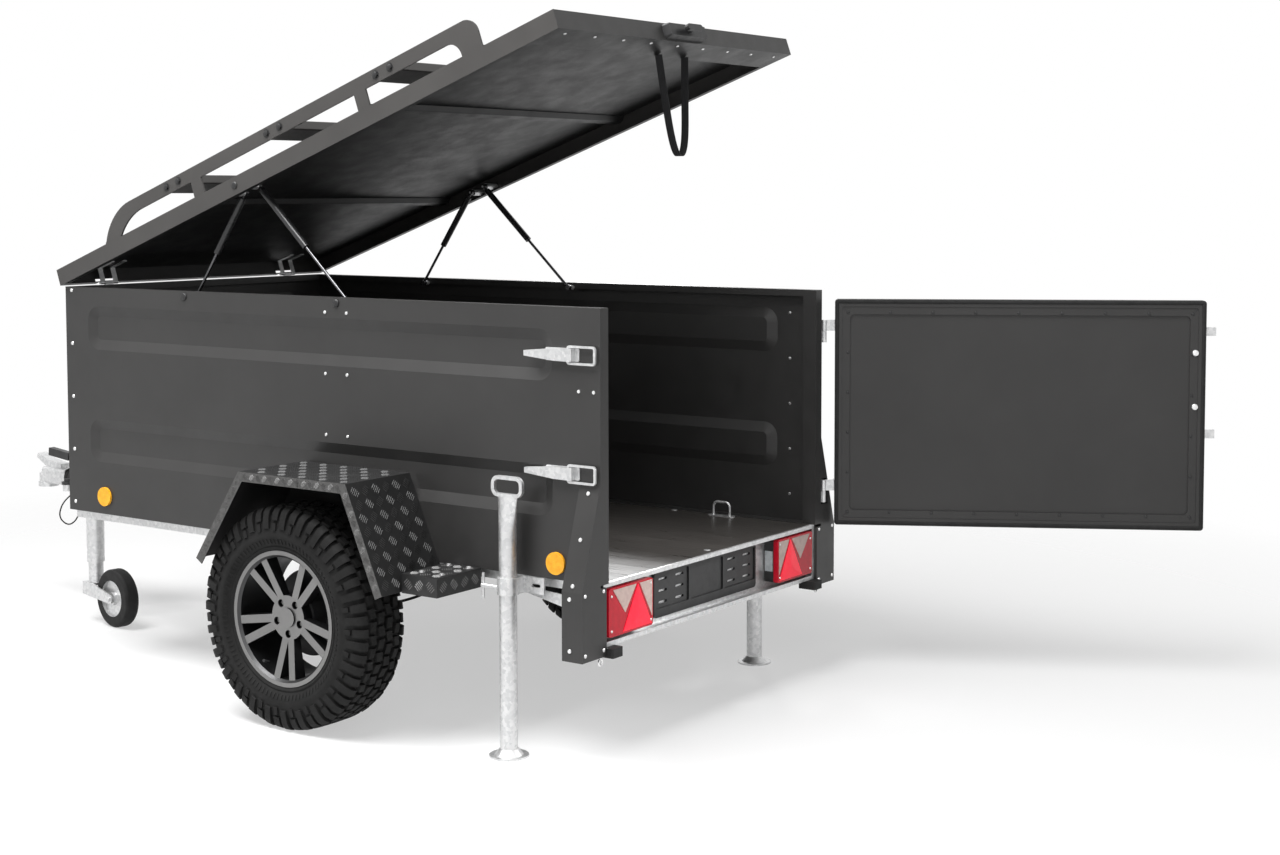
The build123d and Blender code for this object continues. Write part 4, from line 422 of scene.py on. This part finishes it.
# Screws and bolts: radius, rise and shape of each kind of head
EDGE_SCREW = (0.0062, 0.0035, PAN_HEAD)
PANEL_SCREW = (0.0050, 0.003, PAN_HEAD)
GUARD_SCREW = (0.0058, 0.0035, PAN_HEAD)
REAR_SCREW = (0.0052, 0.003, PAN_HEAD)
SEAM_SCREW = (0.0045, 0.0028, PAN_HEAD)
DOOR_SCREW = (0.0046, 0.003, PAN_HEAD)
WALL = 0.568  # outer face of the side panels
GUARD_FACE = 0.649  # outer face of the corner guards
wall_heads = []
for side in (1, -1):
    out = Vector((0, side, 0))
    for high in spaced(1.182, 0.506, 5):
        wall_heads.append((at(2.085, side * WALL, high), out, *EDGE_SCREW))
    for ahead_ in (0.971, 0.887):
        for high in (1.150, 0.975, 0.800):
            wall_heads.append((at(ahead_, side * WALL, high), out, *PANEL_SCREW))
    for ahead_ in (0.069, 0.021):
        wall_heads.append((at(ahead_, side * WALL, 0.976), out, *PANEL_SCREW))
    # corner guard: three on the plate that leans out 81 mm over a drop of 272 mm, two below it,
    # and four on its rear face
    lean = Vector((0, side * 272.0, 81.0)).normalized()
    for high in (0.715, 0.600, 0.486):
        reach = WALL + 0.081 * (0.742 - high) / 0.272
        wall_heads.append((at(0.033, side * reach, high), lean, *GUARD_SCREW))
    for high in (0.452, 0.318):
        wall_heads.append((at(0.040, side * GUARD_FACE, high), out, *GUARD_SCREW))
    for high in (0.462, 0.308):
        for reach in (0.636, 0.556):
            wall_heads.append((at(0, side * reach, high), (-1, 0, 0), *REAR_SCREW))
    for high in spaced(1.120, 0.560, 5):
        wall_heads.append((at(0.110, side * 0.5655, high), -out, *SEAM_SCREW))
heads("wall_screws", "trailer", wall_heads)
heads(
    "strut_wall_bolts",
    "trailer",
    [
        (at(ahead_, side * WALL, 1.177), (0, side, 0), 0.012, 0.006, PAN_HEAD)
        for ahead_ in (1.560, 0.927)
        for side in (1, -1)
    ],
    PLASTIC,
)
lid_heads = []
for left in spaced(-0.52, 0.52, 9):
    lid_heads.append((on_lid(2.085, left, 0.0), -LID_UP, *SEAM_SCREW))
heads("lid_screws", "lid", lid_heads)
lid_bolts = []
for side in (1, -1):
    lid_bolts.append((on_lid(0.850, side * 0.5815, 0.028), (0, side, 0), 0.011, 0.005, PAN_HEAD))
    for bar in (0.594, 1.052, 1.507):
        for shift in (-0.028, 0.028):
            place = on_lid(bar + shift, side * 0.578, 0.124)
            lid_bolts.append((place, (0, side, 0), 0.0095, 0.006, HEX_HEAD))
    for foot in (0.277, 0.695, 1.407, 1.823):
        lid_bolts.append((on_lid(foot, side * 0.555, 0.058), LID_UP, 0.007, 0.0045, HEX_HEAD))
heads("rail_bolts", "lid", lid_bolts, PLASTIC)
DOOR_FACE = -0.010  # plane of the door's inner face, into the box from its pin
DOOR_FOLD = -0.013  # inner band of its frame
DOOR_NEAR, DOOR_FAR = 0.033, 1.137
DOOR_LOW, DOOR_HIGH = 0.470, 1.163
door_heads = []
STRIP = 0.040  # screw line, in from the door's edges
for out in spaced(DOOR_NEAR + STRIP, DOOR_FAR - STRIP, 9):
    for high in (DOOR_LOW + STRIP, DOOR_HIGH - STRIP):
        door_heads.append((on_door(out, high, DOOR_FOLD), DOOR_IN, *DOOR_SCREW))
for high in spaced(DOOR_LOW + STRIP, DOOR_HIGH - STRIP, 6)[1:-1]:
    for out in (DOOR_NEAR + STRIP, DOOR_FAR - STRIP):
        door_heads.append((on_door(out, high, DOOR_FOLD), DOOR_IN, *DOOR_SCREW))
heads("door_screws", "door", door_heads, PLASTIC)
heads(
    "door_bolts",
    "door",
    [
        (on_door(DOOR_FAR - 0.030, high, DOOR_FOLD), DOOR_IN, 0.010, 0.006, PAN_HEAD)
        for high in (1.006, 0.844)
    ],
)


# Door trim: a rubber bead round the inner face
def rounded(width, height, radius, steps=6):
    """Outline of a rounded rectangle about the origin."""
    line = []
    for cx, cy, start in ((1, 1, 0), (-1, 1, 90), (-1, -1, 180), (1, -1, 270)):
        for i in range(steps + 1):
            turn = math.radians(start + 90 * i / steps)
            line.append(
                (
                    cx * (width / 2 - radius) + radius * math.cos(turn),
                    cy * (height / 2 - radius) + radius * math.sin(turn),
                )
            )
    return line


def bead(bm, outline, inset, place, width, rise):
    """Raised strip along a closed outline: place(x, y, rise) gives points of its surface."""
    count = len(outline)
    rings = []
    for i, (x, y) in enumerate(outline):
        ax, ay = outline[i - 1]
        bx, by = outline[(i + 1) % count]
        run = Vector((bx - ax, by - ay)).normalized()
        side = Vector((-run.y, run.x))
        ring = []
        for across, high in ((-0.5, 0), (-0.42, 0.7), (-0.2, 1), (0.2, 1), (0.42, 0.7), (0.5, 0)):
            shift = side * (inset + across * width)
            ring.append(place(x + shift.x, y + shift.y, rise * high - SUNK))
        rings.append(ring)
    skin(bm, rings + rings[:1], closed=False, caps=False)


DOOR_MIDDLE = (DOOR_NEAR + DOOR_FAR) / 2
DOOR_CENTRE = (DOOR_LOW + DOOR_HIGH) / 2
door_line = rounded(DOOR_FAR - DOOR_NEAR, DOOR_HIGH - DOOR_LOW, 0.010)


def door_surface(x, y, rise):
    return on_door(DOOR_MIDDLE + x, DOOR_CENTRE + y, DOOR_FACE + rise)


piece(
    "door_seal",
    "door",
    RUBBER,
    lambda bm: bead(bm, door_line, 0.0075, door_surface, 0.011, 0.004),
)


# the frame's mitred corners: thin lines from near the outer corner to the panel
MITRE_FROM, MITRE_TO = 0.026, 0.044
MITRE_HALF, MITRE_RISE = 0.0012, 0.0006


def mitres(bm):
    for end, cross in ((DOOR_NEAR, 1), (DOOR_FAR, -1)):
        for high, rise in ((DOOR_LOW, 1), (DOOR_HIGH, -1)):
            line = []
            for reach, shift in (
                (MITRE_FROM, MITRE_HALF),
                (MITRE_TO, MITRE_HALF),
                (MITRE_TO, -MITRE_HALF),
                (MITRE_FROM, -MITRE_HALF),
            ):
                out, up = end + cross * (reach + shift), high + rise * (reach - shift)
                line.append(on_door(out, up, DOOR_FOLD))
            low = [p - DOOR_IN * SUNK for p in line]
            top = [p + DOOR_IN * MITRE_RISE for p in line]
            skin(bm, [low, top])


piece("door_mitres", "door", PLASTIC, mitres)


# Five-bar tread plate
BAR_RISE = 0.0016


def tread(bm, corner, u, v, width, length, cell=0.036):
    """Groups of five low bars, turned by turns, over a flat plate."""
    u, v = Vector(u).normalized(), Vector(v).normalized()
    n = u.cross(v)
    columns, rows = max(1, int(width / cell)), max(1, int(length / cell))
    step_u, step_v = width / columns, length / rows
    for i in range(columns):
        for j in range(rows):
            centre = corner + u * (i + 0.5) * step_u + v * (j + 0.5) * step_v
            along, beside = (u + v, u - v) if (i + j) % 2 else (u - v, u + v)
            along, beside = along.normalized(), beside.normalized()
            for k in range(-2, 3):
                middle = centre + beside * k * cell * 0.165
                half = cell * (0.40 - 0.05 * abs(k))
                wide = cell * 0.052
                base = [
                    middle + along * half,
                    middle + along * half * 0.6 + beside * wide,
                    middle - along * half * 0.6 + beside * wide,
                    middle - along * half,
                    middle - along * half * 0.6 - beside * wide,
                    middle + along * half * 0.6 - beside * wide,
                ]
                ridge = [middle + along * half * 0.62, middle - along * half * 0.62]
                low = [bm.verts.new(p - n * SUNK) for p in base]
                top = [bm.verts.new(p + n * BAR_RISE) for p in ridge]
                for a, b, tops in (
                    (0, 1, (0,)), (1, 2, (1, 0)), (2, 3, (1,)), (3, 4, (1,)), (4, 5, (0, 1)), (5, 0, (0,)),
                ):
                    bm.faces.new([low[a], low[b]] + [top[t] for t in tops])


def tread_facing(bm, swapped, corner, u, v, width, length, cell=0.036):
    """Tread whose bars stand out of the plate: u and v change places where it faces the other way."""
    if swapped:
        tread(bm, corner, v, u, length, width, cell)
    else:
        tread(bm, corner, u, v, width, length, cell)


GUARD_LINE = ((1.239, 0.456), (1.063, 0.717), (0.655, 0.717), (0.527, 0.430))
GUARD_OUT = 0.822
GUARD_LIP = 0.027
GUARD_EDGE, GUARD_FOLD = 0.006, 0.008  # plain margins at a plate's sides and ends
LIP_EDGE, LIP_FOLD = 0.002, 0.016  # the same on the lip
LIP_CELL = 0.024


def guard_plates():
    """Start, run and length of the plates of a mudguard, on both sides."""
    for side in (1, -1):
        for (xa, za), (xb, zb) in zip(GUARD_LINE, GUARD_LINE[1:]):
            a, b = at(xa, 0, za), at(xb, 0, zb)
            yield side, a, (b - a).normalized(), (b - a).length


def guard_tread(bm):
    for side, a, run, length in guard_plates():
        out = Vector((0, -side, 0))
        start = a + run * GUARD_FOLD + Vector((0, side * (GUARD_OUT - GUARD_EDGE), 0))
        width, reach = GUARD_OUT - WALL - 2 * GUARD_EDGE, length - 2 * GUARD_FOLD
        tread_facing(bm, side < 0, start, run, out, reach, width)


def lip_tread(bm):
    for side, a, run, length in guard_plates():
        down = Vector((-run.z, 0, run.x))
        if down.z > 0:
            down = -down
        start = a + run * LIP_FOLD + Vector((0, side * GUARD_OUT, 0)) + down * LIP_EDGE
        width, reach = length - 2 * LIP_FOLD, GUARD_LIP - 2 * LIP_EDGE
        swapped = run.cross(down).y * side <= 0
        tread_facing(bm, swapped, start, run, down, width, reach, LIP_CELL)


piece("guard_tread", "trailer", PLATE, guard_tread, smooth=False)
piece("lip_tread", "trailer", PALE_TREAD, lip_tread, smooth=False)


STEP_REAR, STEP_IN, STEP_OUT = 0.400, 0.572, 0.748
STEP_LOW, STEP_TOP = 0.432, 0.480
STEP_RUN, STEP_ACROSS, STEP_DROP = 0.116, 0.172, 0.044  # what the tread covers
STEP_FOLD = 0.004  # from the rear edge to where the tread starts


def step_tread(bm):
    """Tread on a step's top, rear and outer side."""
    along, up = Vector((1, 0, 0)), Vector((0, 0, 1))
    for side in (1, -1):
        across = Vector((0, side, 0))
        right_hand = side < 0
        corner = at(STEP_REAR + STEP_FOLD, side * STEP_IN, STEP_TOP)
        tread_facing(bm, right_hand, corner, along, across, STEP_RUN, STEP_ACROSS)
        corner = at(STEP_REAR, side * STEP_IN, STEP_LOW)
        tread_facing(bm, right_hand, corner, up, across, STEP_DROP, STEP_ACROSS)
        corner = at(STEP_REAR + STEP_FOLD, side * STEP_OUT, STEP_LOW)
        tread_facing(bm, right_hand, corner, up, along, STEP_DROP, STEP_RUN)


piece("step_tread", "trailer", PALE_TREAD, step_tread, smooth=False)
heads(
    "step_bolts",
    "trailer",
    [
        (at(ahead_, side * left, STEP_TOP), (0, 0, 1), 0.007, 0.005, HEX_HEAD)
        for ahead_ in (0.425, 0.495)
        for left in (0.590, 0.700)
        for side in (1, -1)
    ],
)


# Load floor: the film laps over the cross-member's flange, and a few bolts hold the board
FLOOR_TOP = 0.478
FILM_THICK = 0.0006
FILM_START, FILM_END = 0.018, 0.060  # the lap, ahead of the box's rear edge
FILM_SIDE = 0.538
FLOOR_BOLTS = ((0.045, 0.0), (0.505, 0.515), (0.505, -0.515), (1.700, 0.515), (1.700, -0.515))


def film_edge(bm):
    corners = (
        (FILM_END, FILM_SIDE), (FILM_END, -FILM_SIDE), (FILM_START, -FILM_SIDE), (FILM_START, FILM_SIDE),
    )
    outline = [at(ahead_, left, 0) + Vector((0, 0, FLOOR_TOP)) for ahead_, left in corners]
    low = [p - Vector((0, 0, SUNK)) for p in outline]
    top = [p + Vector((0, 0, FILM_THICK)) for p in outline]
    skin(bm, [low, top])


piece("film_edge", "trailer", FILM, film_edge, smooth=False)
heads(
    "floor_bolts",
    "trailer",
    [
        (at(ahead_, left, FLOOR_TOP), (0, 0, 1), 0.010, 0.003, PAN_HEAD)
        for ahead_, left in FLOOR_BOLTS
    ],
)

# Tyres: carcass with sidewall ribs, and the all-terrain tread's blocks
WHEEL = at(0.928, 0, 0.314)
WHEEL_OUT = 0.712
CARCASS = (
    (0.067, 0.178), (0.073, 0.186), (0.081, 0.193), (0.084, 0.199), (0.082, 0.204), (0.089, 0.214),
    (0.0938, 0.226), (0.0950, 0.235), (0.0925, 0.241), (0.0915, 0.250), (0.0890, 0.262), (0.0860, 0.272),
    (0.0820, 0.284), (0.0765, 0.294), (0.0700, 0.299), (0.0600, 0.3015), (0.0300, 0.3030), (0.0, 0.3035),
)
LUGS = 54
CENTRE_BLOCK = ((0.0045, 0.302), (0.0045, 0.3138), (0.026, 0.3136), (0.029, 0.302))
MIDDLE_BLOCK = ((0.036, 0.301), (0.037, 0.3134), (0.055, 0.3126), (0.058, 0.300))
SHOULDER = (
    (0.064, 0.298), (0.065, 0.3120), (0.0760, 0.3092), (0.0860, 0.3005), (0.0915, 0.2860),
    (0.0945, 0.2700), (0.0960, 0.2540), (0.0900, 0.2520), (0.0850, 0.2700), (0.0760, 0.2900),
)
SHORT_SHOULDER = (
    (0.064, 0.298), (0.065, 0.3114), (0.0750, 0.3080), (0.0845, 0.2985), (0.0895, 0.2850),
    (0.0915, 0.2760), (0.0830, 0.2750), (0.0760, 0.2900),
)
SIDE_LUG = ((0.0860, 0.2680), (0.0935, 0.2690), (0.0958, 0.2480), (0.0900, 0.2470))
RIB = ((0.0875, 0.2095), (0.0893, 0.2110), (0.0952, 0.2235), (0.0935, 0.2235))
RIBS, RIB_TURN = 96, 0.022
CARCASS_STEPS = 108
BLOCK_SLANT = 0.0025


def tyre_mesh(bm, side):
    def spot(out, radius, turn):
        return WHEEL + Vector(
            (radius * math.sin(turn), side * (WHEEL_OUT + out), radius * math.cos(turn))
        )

    profile = [(-out, radius) for out, radius in CARCASS[:-1]] + list(reversed(CARCASS))
    turns = [2 * math.pi * i / CARCASS_STEPS for i in range(CARCASS_STEPS + 1)]
    skin(bm, [[spot(o, r, t) for o, r in profile] for t in turns], closed=False, caps=False)
    pitch = 2 * math.pi / LUGS

    def block(section, start, end, hand, slant=0.0):
        first = [spot(hand * (o + slant), r, start) for o, r in section]
        last = [spot(hand * (o - slant), r, end) for o, r in section]
        skin(bm, [first, last])

    for i in range(LUGS):
        turn = i * pitch
        for hand in (1, -1):
            shift = turn + (pitch / 2 if hand < 0 else 0)
            slant = BLOCK_SLANT if i % 2 else -BLOCK_SLANT
            block(CENTRE_BLOCK, shift, shift + pitch * 0.74, hand, slant * 1.2)
            block(MIDDLE_BLOCK, shift + pitch * 0.45, shift + pitch * 1.16, hand, -slant * 1.3)
            section = SHOULDER if i % 2 else SHORT_SHOULDER
            block(section, shift + pitch * 0.10, shift + pitch * 0.74, hand)
            if not i % 2:
                block(SIDE_LUG, shift + pitch * 0.24, shift + pitch * 0.66, hand)
    for i in range(RIBS):
        turn = 2 * math.pi * i / RIBS
        for hand in (1, -1):
            block(RIB, turn, turn + RIB_TURN, hand)


for side, name in ((1, "left"), (-1, "right")):
    tyre = piece(
        f"tyre_tread_{name}",
        f"wheel_{name}",
        TYRE,
        lambda bm, side=side: tyre_mesh(bm, side),
    )
    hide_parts(f"tyre_{name}")


# Lamp lenses: coloured fields and the reflecting triangle, in the lens's own square
LENS_PLANE = 0.006
LENS_IN, LENS_WIDTH = 0.325, 0.200
LENS_LOW, LENS_HEIGHT = 0.332, 0.128
LENS_SCREWS = ((0.06, 0.84), (0.06, 0.12), (0.95, 0.9), (0.95, 0.12))


def on_lens(side, a, b, proud=0.0):
    """Point on a lamp: a inward and b upward from its outer lower corner, as shares of the lens."""
    return at(LENS_PLANE - proud, side * (LENS_IN + LENS_WIDTH * (1 - a)), LENS_LOW + LENS_HEIGHT * b)


def lens_field(bm, corners, ridge=None, rise=0.0015):
    """Thin field on both lamps, flat or with a crown over the ridge's place."""
    for side in (1, -1):
        low = [bm.verts.new(on_lens(side, a, b, -SUNK)) for a, b in corners]
        top = [bm.verts.new(on_lens(side, a, b, rise)) for a, b in corners]
        count = len(corners)
        for i in range(count):
            j = (i + 1) % count
            bm.faces.new((low[i], low[j], top[j], top[i]))
        if ridge is None:
            bm.faces.new(top)
        else:
            crown = bm.verts.new(on_lens(side, *ridge, rise * 2.4))
            for i in range(count):
                bm.faces.new((top[i], top[(i + 1) % count], crown))


piece(
    "lamp_clear_fields",
    "trailer",
    CLEAR,
    lambda bm: [
        lens_field(bm, ((0.09, 0.965), (0.61, 0.965), (0.36, 0.44))),
        lens_field(bm, ((0.69, 0.965), (0.975, 0.965), (0.975, 0.20))),
    ],
    smooth=False,
)
piece(
    "lamp_triangles",
    "trailer",
    REFLECTOR,
    lambda bm: lens_field(bm, ((0.31, 0.05), (0.65, 0.955), (0.965, 0.05)), (0.645, 0.28)),
    smooth=False,
)
heads(
    "lamp_screws",
    "trailer",
    [
        (on_lens(side, a, b), (-1, 0, 0), 0.0035, 0.0025, PAN_HEAD)
        for a, b in LENS_SCREWS
        for side in (1, -1)
    ],
)


# Clear windows in the inner ends of the lamp housings
def lamp_windows(bm):
    for side in (1, -1):
        place = at(0.038, side * LENS_IN, 0.396)
        half = (Vector((0.013, 0, 0)), Vector((0, 0, 0.030)))
        corners = [place + i * half[0] + j * half[1] for i, j in ((1, 1), (-1, 1), (-1, -1), (1, -1))]
        inward = Vector((0, -side, 0))
        skin(bm, [[p - inward * SUNK for p in corners], [p + inward * 0.002 for p in corners]])


piece("lamp_windows", "trailer", WINDOW, lamp_windows, smooth=False)


# Eye bolts under the corner guards and tyre valves
def wire_ring(bm, centre, normal, radius, wire, turns=20, sides=8):
    u, v, n = frame_of(normal)
    rings = []
    for i in range(turns + 1):
        a = 2 * math.pi * i / turns
        spoke = u * math.cos(a) + v * math.sin(a)
        rings.append(
            [
                centre
                + spoke * (radius + wire * math.cos(2 * math.pi * j / sides))
                + n * wire * math.sin(2 * math.pi * j / sides)
                for j in range(sides)
            ]
        )
    skin(bm, rings, caps=False)


def circle(u, v, radius, sides):
    """Points round the origin in the plane of u and v."""
    turns = [2 * math.pi * j / sides for j in range(sides)]
    return [(u * math.cos(turn) + v * math.sin(turn)) * radius for turn in turns]


def rod(bm, start, end, radius, sides=12):
    u, v, _ = frame_of(end - start)
    edge = circle(u, v, radius, sides)
    skin(bm, [[start + p for p in edge], [end + p for p in edge]])


def eye_bolts(bm):
    for side in (1, -1):
        top = at(0.011, side * 0.556, 0.2915)
        wire_ring(bm, top - Vector((0, 0, 0.017)), (1, 0, 0), 0.008, 0.0025)
        rod(bm, top, top - Vector((0, 0, 0.010)), 0.0035)


piece("eye_bolts", "trailer", BRIGHT, eye_bolts)

VALVE_RADIUS = 0.158
for side, name in ((1, "left"), (-1, "right")):
    foot = WHEEL + Vector((VALVE_RADIUS * 0.5, side * (WHEEL_OUT + 0.058), -VALVE_RADIUS * 0.86))
    tip = foot + Vector((-0.006, side * 0.024, 0.010))
    piece(
        f"valve_{name}",
        f"wheel_{name}",
        PLASTIC,
        lambda bm, foot=foot, tip=tip: rod(bm, foot, tip, 0.0042),
    )


# Cords: soft routes that start and end on the part
def smooth_route(points):
    """Points of a smooth line that starts and ends at the ends of the given points."""
    line = bpy.data.curves.new("route", "CURVE")
    line.dimensions = "3D"
    run = line.splines.new("NURBS")
    run.points.add(len(points) - 1)
    for point, place in zip(run.points, points):
        point.co = (*place, 1)
    run.order_u = 3
    run.use_endpoint_u = True
    run.resolution_u = 8
    holder = bpy.data.objects.new("route", line)
    bpy.context.collection.objects.link(holder)
    bpy.context.view_layer.update()
    traced = bpy.data.meshes.new_from_object(holder)
    route = [Vector(v.co) for v in traced.vertices]
    bpy.data.objects.remove(holder)
    bpy.data.meshes.remove(traced)
    return route


def cable(name, points, radius, sides=10):
    """Round black cable along a route in one upright plane or near it, both ends on the part."""
    route = smooth_route(points)

    def draw(bm):
        rings = []
        for i, p in enumerate(route):
            run = (route[min(i + 1, len(route) - 1)] - route[max(i - 1, 0)]).normalized()
            u = (Vector((0, 1, 0)) - run * run.y).normalized()
            v = run.cross(u)
            rings.append([p + q for q in circle(u, v, radius, sides)])
        skin(bm, rings)

    made = piece(name, "trailer", RUBBER, draw)


# the brake's breakaway cable loops under the overrun unit, and a brake cable runs from the left
# frame rail to the left brake's back plate
cable(
    "breakaway_cable",
    [
        at(ahead_, 0.028, high)
        for ahead_, high in (
            (2.736, 0.4125), (2.768, 0.406), (2.806, 0.388), (2.854, 0.350), (2.872, 0.300),
            (2.816, 0.274), (2.764, 0.306), (2.754, 0.350), (2.746, 0.382), (2.722, 0.4125),
        )
    ],
    0.0026,
)
cable(
    "brake_cable",
    [
        at(ahead_, left, high)
        for ahead_, left, high in (
            (0.548, 0.5425, 0.416), (0.558, 0.546, 0.411), (0.590, 0.549, 0.397), (0.633, 0.549, 0.374),
            (0.690, 0.549, 0.353), (0.760, 0.547, 0.333), (0.814, 0.545, 0.326),
        )
    ],
    0.0040,
)
PLUG_AT = (2.778, 0.058)
PLUG_PLATE = ((2.690, 0.428), (2.796, 0.428), (2.796, 0.448), (2.690, 0.448))


def plug_holder(bm):
    """Plate on the overrun unit's side, with the socket that the plug is parked in."""
    corners = [at(ahead_, 0, high) for ahead_, high in PLUG_PLATE]
    skin(bm, [[p + Vector((0, left, 0)) for p in corners] for left in (0.0346, 0.0386)])
    rod(bm, at(*PLUG_AT, 0.412), at(*PLUG_AT, 0.436), 0.0175, 20)


def parked_plug(bm):
    rod(bm, at(*PLUG_AT, 0.4358), at(*PLUG_AT, 0.446), 0.0215, 20)
    rod(bm, at(*PLUG_AT, 0.4455), at(*PLUG_AT, 0.456), 0.0130, 20)


piece("plug_holder", "trailer", ZINC, plug_holder)
piece("parked_plug", "trailer", PLASTIC, parked_plug)

# Pull strap: flat webbing that hangs in a loop from the lid's rear lip
strap_hook = on_lid(2.022, 0, 0)
STRAP_WIDTH, STRAP_THICK = 0.024, 0.002
strap_route = [
    Vector((strap_hook.x, left, strap_hook.z + drop))
    for left, drop in (
        (0.008, 0.0), (-0.020, -0.110), (-0.055, -0.230), (-0.084, -0.284),
        (-0.112, -0.284), (-0.128, -0.235), (-0.126, -0.110), (-0.125, 0.0),
    )
]
strap_path = smooth_route(strap_route)


def strap_mesh(bm):
    rings = []
    for i, p in enumerate(strap_path):
        run_ = strap_path[min(i + 1, len(strap_path) - 1)] - strap_path[max(i - 1, 0)]
        flat = run_.cross(Vector((1, 0, 0))).normalized() * STRAP_THICK / 2
        wide = Vector((STRAP_WIDTH / 2, 0, 0))
        rings.append([p + wide + flat, p - wide + flat, p - wide - flat, p + wide - flat])
    skin(bm, rings)


strap = piece("strap_webbing", "lid", WEBBING, strap_mesh)
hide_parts("pull_strap")

# Studio: white world and floor, light mostly from above on the trailer's left


def plain_sight(tree):
    """One for rays from the camera, a mirror or glass, which see the background as white."""
    path = tree.nodes.new("ShaderNodeLightPath")
    seen_by = path.outputs["Is Camera Ray"]
    for kind in ("Is Glossy Ray", "Is Transmission Ray"):
        either = tree.nodes.new("ShaderNodeMath")
        either.operation = "MAXIMUM"
        tree.links.new(seen_by, either.inputs[0])
        tree.links.new(path.outputs[kind], either.inputs[1])
        seen_by = either.outputs["Value"]
    return seen_by


world = bpy.data.worlds.new("studio")
world.use_nodes = True
bpy.context.scene.world = world
tree = world.node_tree
sky = tree.nodes["Background"]
sky.inputs["Color"].default_value = (1, 1, 1, 1)
sky.inputs["Strength"].default_value = 0.15
seen = tree.nodes.new("ShaderNodeBackground")
seen.inputs["Color"].default_value = (1, 1, 1, 1)
seen.inputs["Strength"].default_value = 1.0
mix = tree.nodes.new("ShaderNodeMixShader")
tree.links.new(plain_sight(tree), mix.inputs["Fac"])
tree.links.new(sky.outputs["Background"], mix.inputs[1])
tree.links.new(seen.outputs["Background"], mix.inputs[2])
tree.links.new(mix.outputs["Shader"], tree.nodes["World Output"].inputs["Surface"])


def area(name, place, aim, size, power, spread=180):
    data = bpy.data.lights.new(name, "AREA")
    data.shape = "RECTANGLE"
    data.size, data.size_y = size
    data.energy = power
    data.spread = math.radians(spread)
    lamp = bpy.data.objects.new(name, data)
    bpy.context.collection.objects.link(lamp)
    lamp.location = place
    lamp.rotation_euler = (Vector(aim) - Vector(place)).to_track_quat("-Z", "Y").to_euler()


area("top", at(1.2, 2.2, 5.0), at(1.2, 0.6, 0.6), (5.0, 2.4), 500)
area("key", at(-2.6, 4.6, 3.4), at(0.8, 0.0, 0.7), (3.0, 2.4), 40)
# two narrow lamps: on the rear lamps, and through the gap under the lid on the load floor
area("rear", at(-2.0, -1.7, 2.0), at(0.16, 0.30, 0.48), (0.4, 0.4), 1.2, 20)
area("wedge", at(2.5, -3.0, 3.4), at(0.12, 0.35, 0.48), (0.6, 0.6), 3.2, 20)

STUDIO_SIZE = 16.0
STUDIO_GLOW = 0.50  # share of the floor that is seen white whatever falls on it
floor_mesh = bpy.data.meshes.new("studio_floor")
low = at(0, 0, 0).z
floor_mesh.from_pydata(
    [
        (x * STUDIO_SIZE, y * STUDIO_SIZE, low)
        for x, y in ((-1, -1), (1, -1), (1, 1), (-1, 1))
    ],
    [],
    [(0, 1, 2, 3)],
)
floor = bpy.data.objects.new("studio_floor", floor_mesh)
bpy.context.collection.objects.link(floor)
paint = Shader("studio_white")
paint.set(Roughness=0.95, Base_Color=(0.95, 0.95, 0.95, 1), Specular_IOR_Level=0.1)
# beyond the trailer's shadow the floor fades out, so that no horizon shows
glow = paint.node("ShaderNodeEmission", Strength=1.0)
share = paint.node("ShaderNodeMath", operation="MULTIPLY")
share.inputs[1].default_value = STUDIO_GLOW
paint.link(plain_sight(paint.tree), share.inputs[0])
lifted = paint.node("ShaderNodeMixShader")
paint.link(share.outputs["Value"], lifted.inputs["Fac"])
paint.link(paint.bsdf.outputs["BSDF"], lifted.inputs[1])
paint.link(glow.outputs["Emission"], lifted.inputs[2])
offset = paint.node("ShaderNodeVectorMath", operation="DISTANCE")
offset.inputs[1].default_value = at(1.1, 0, 0)
paint.link(paint.coords(), offset.inputs[0])
fade = paint.grey(offset.outputs["Value"], 0.0, 1.0, 1.6, 4.2)
gone = paint.node("ShaderNodeBsdfTransparent")
blend = paint.node("ShaderNodeMixShader")
paint.link(fade, blend.inputs["Fac"])
paint.link(lifted.outputs["Shader"], blend.inputs[1])
paint.link(gone.outputs["BSDF"], blend.inputs[2])
paint.link(blend.outputs["Shader"], paint.tree.nodes["Material Output"].inputs["Surface"])
floor_mesh.materials.append(paint.material)

# Camera, as the photograph was taken
YAW = math.radians(54.76)
PITCH = math.radians(3.68)
ROLL = math.radians(0.10)
ahead = Vector(
    (math.cos(YAW) * math.cos(PITCH), -math.sin(YAW) * math.cos(PITCH), -math.sin(PITCH))
)
right = ahead.cross(Vector((0, 0, 1))).normalized()
above = right.cross(ahead)
turned = Matrix.Rotation(ROLL, 3, ahead)
right, above = turned @ right, turned @ above
camera_data = bpy.data.cameras.new("camera")
camera_data.sensor_fit = "HORIZONTAL"
camera_data.sensor_width = 36.0
camera_data.lens = 53.51
camera_data.shift_x = 0.0022
camera_data.shift_y = -0.0865
camera = bpy.data.objects.new("camera", camera_data)
bpy.context.collection.objects.link(camera)
spot = at(-2.8684, 4.4643, 1.4826)
camera.matrix_world = Matrix(
    (
        (right.x, above.x, -ahead.x, spot.x),
        (right.y, above.y, -ahead.y, spot.y),
        (right.z, above.z, -ahead.z, spot.z),
        (0, 0, 0, 1),
    )
)
bpy.context.scene.camera = camera
bpy.context.scene.view_settings.view_transform = "Standard"
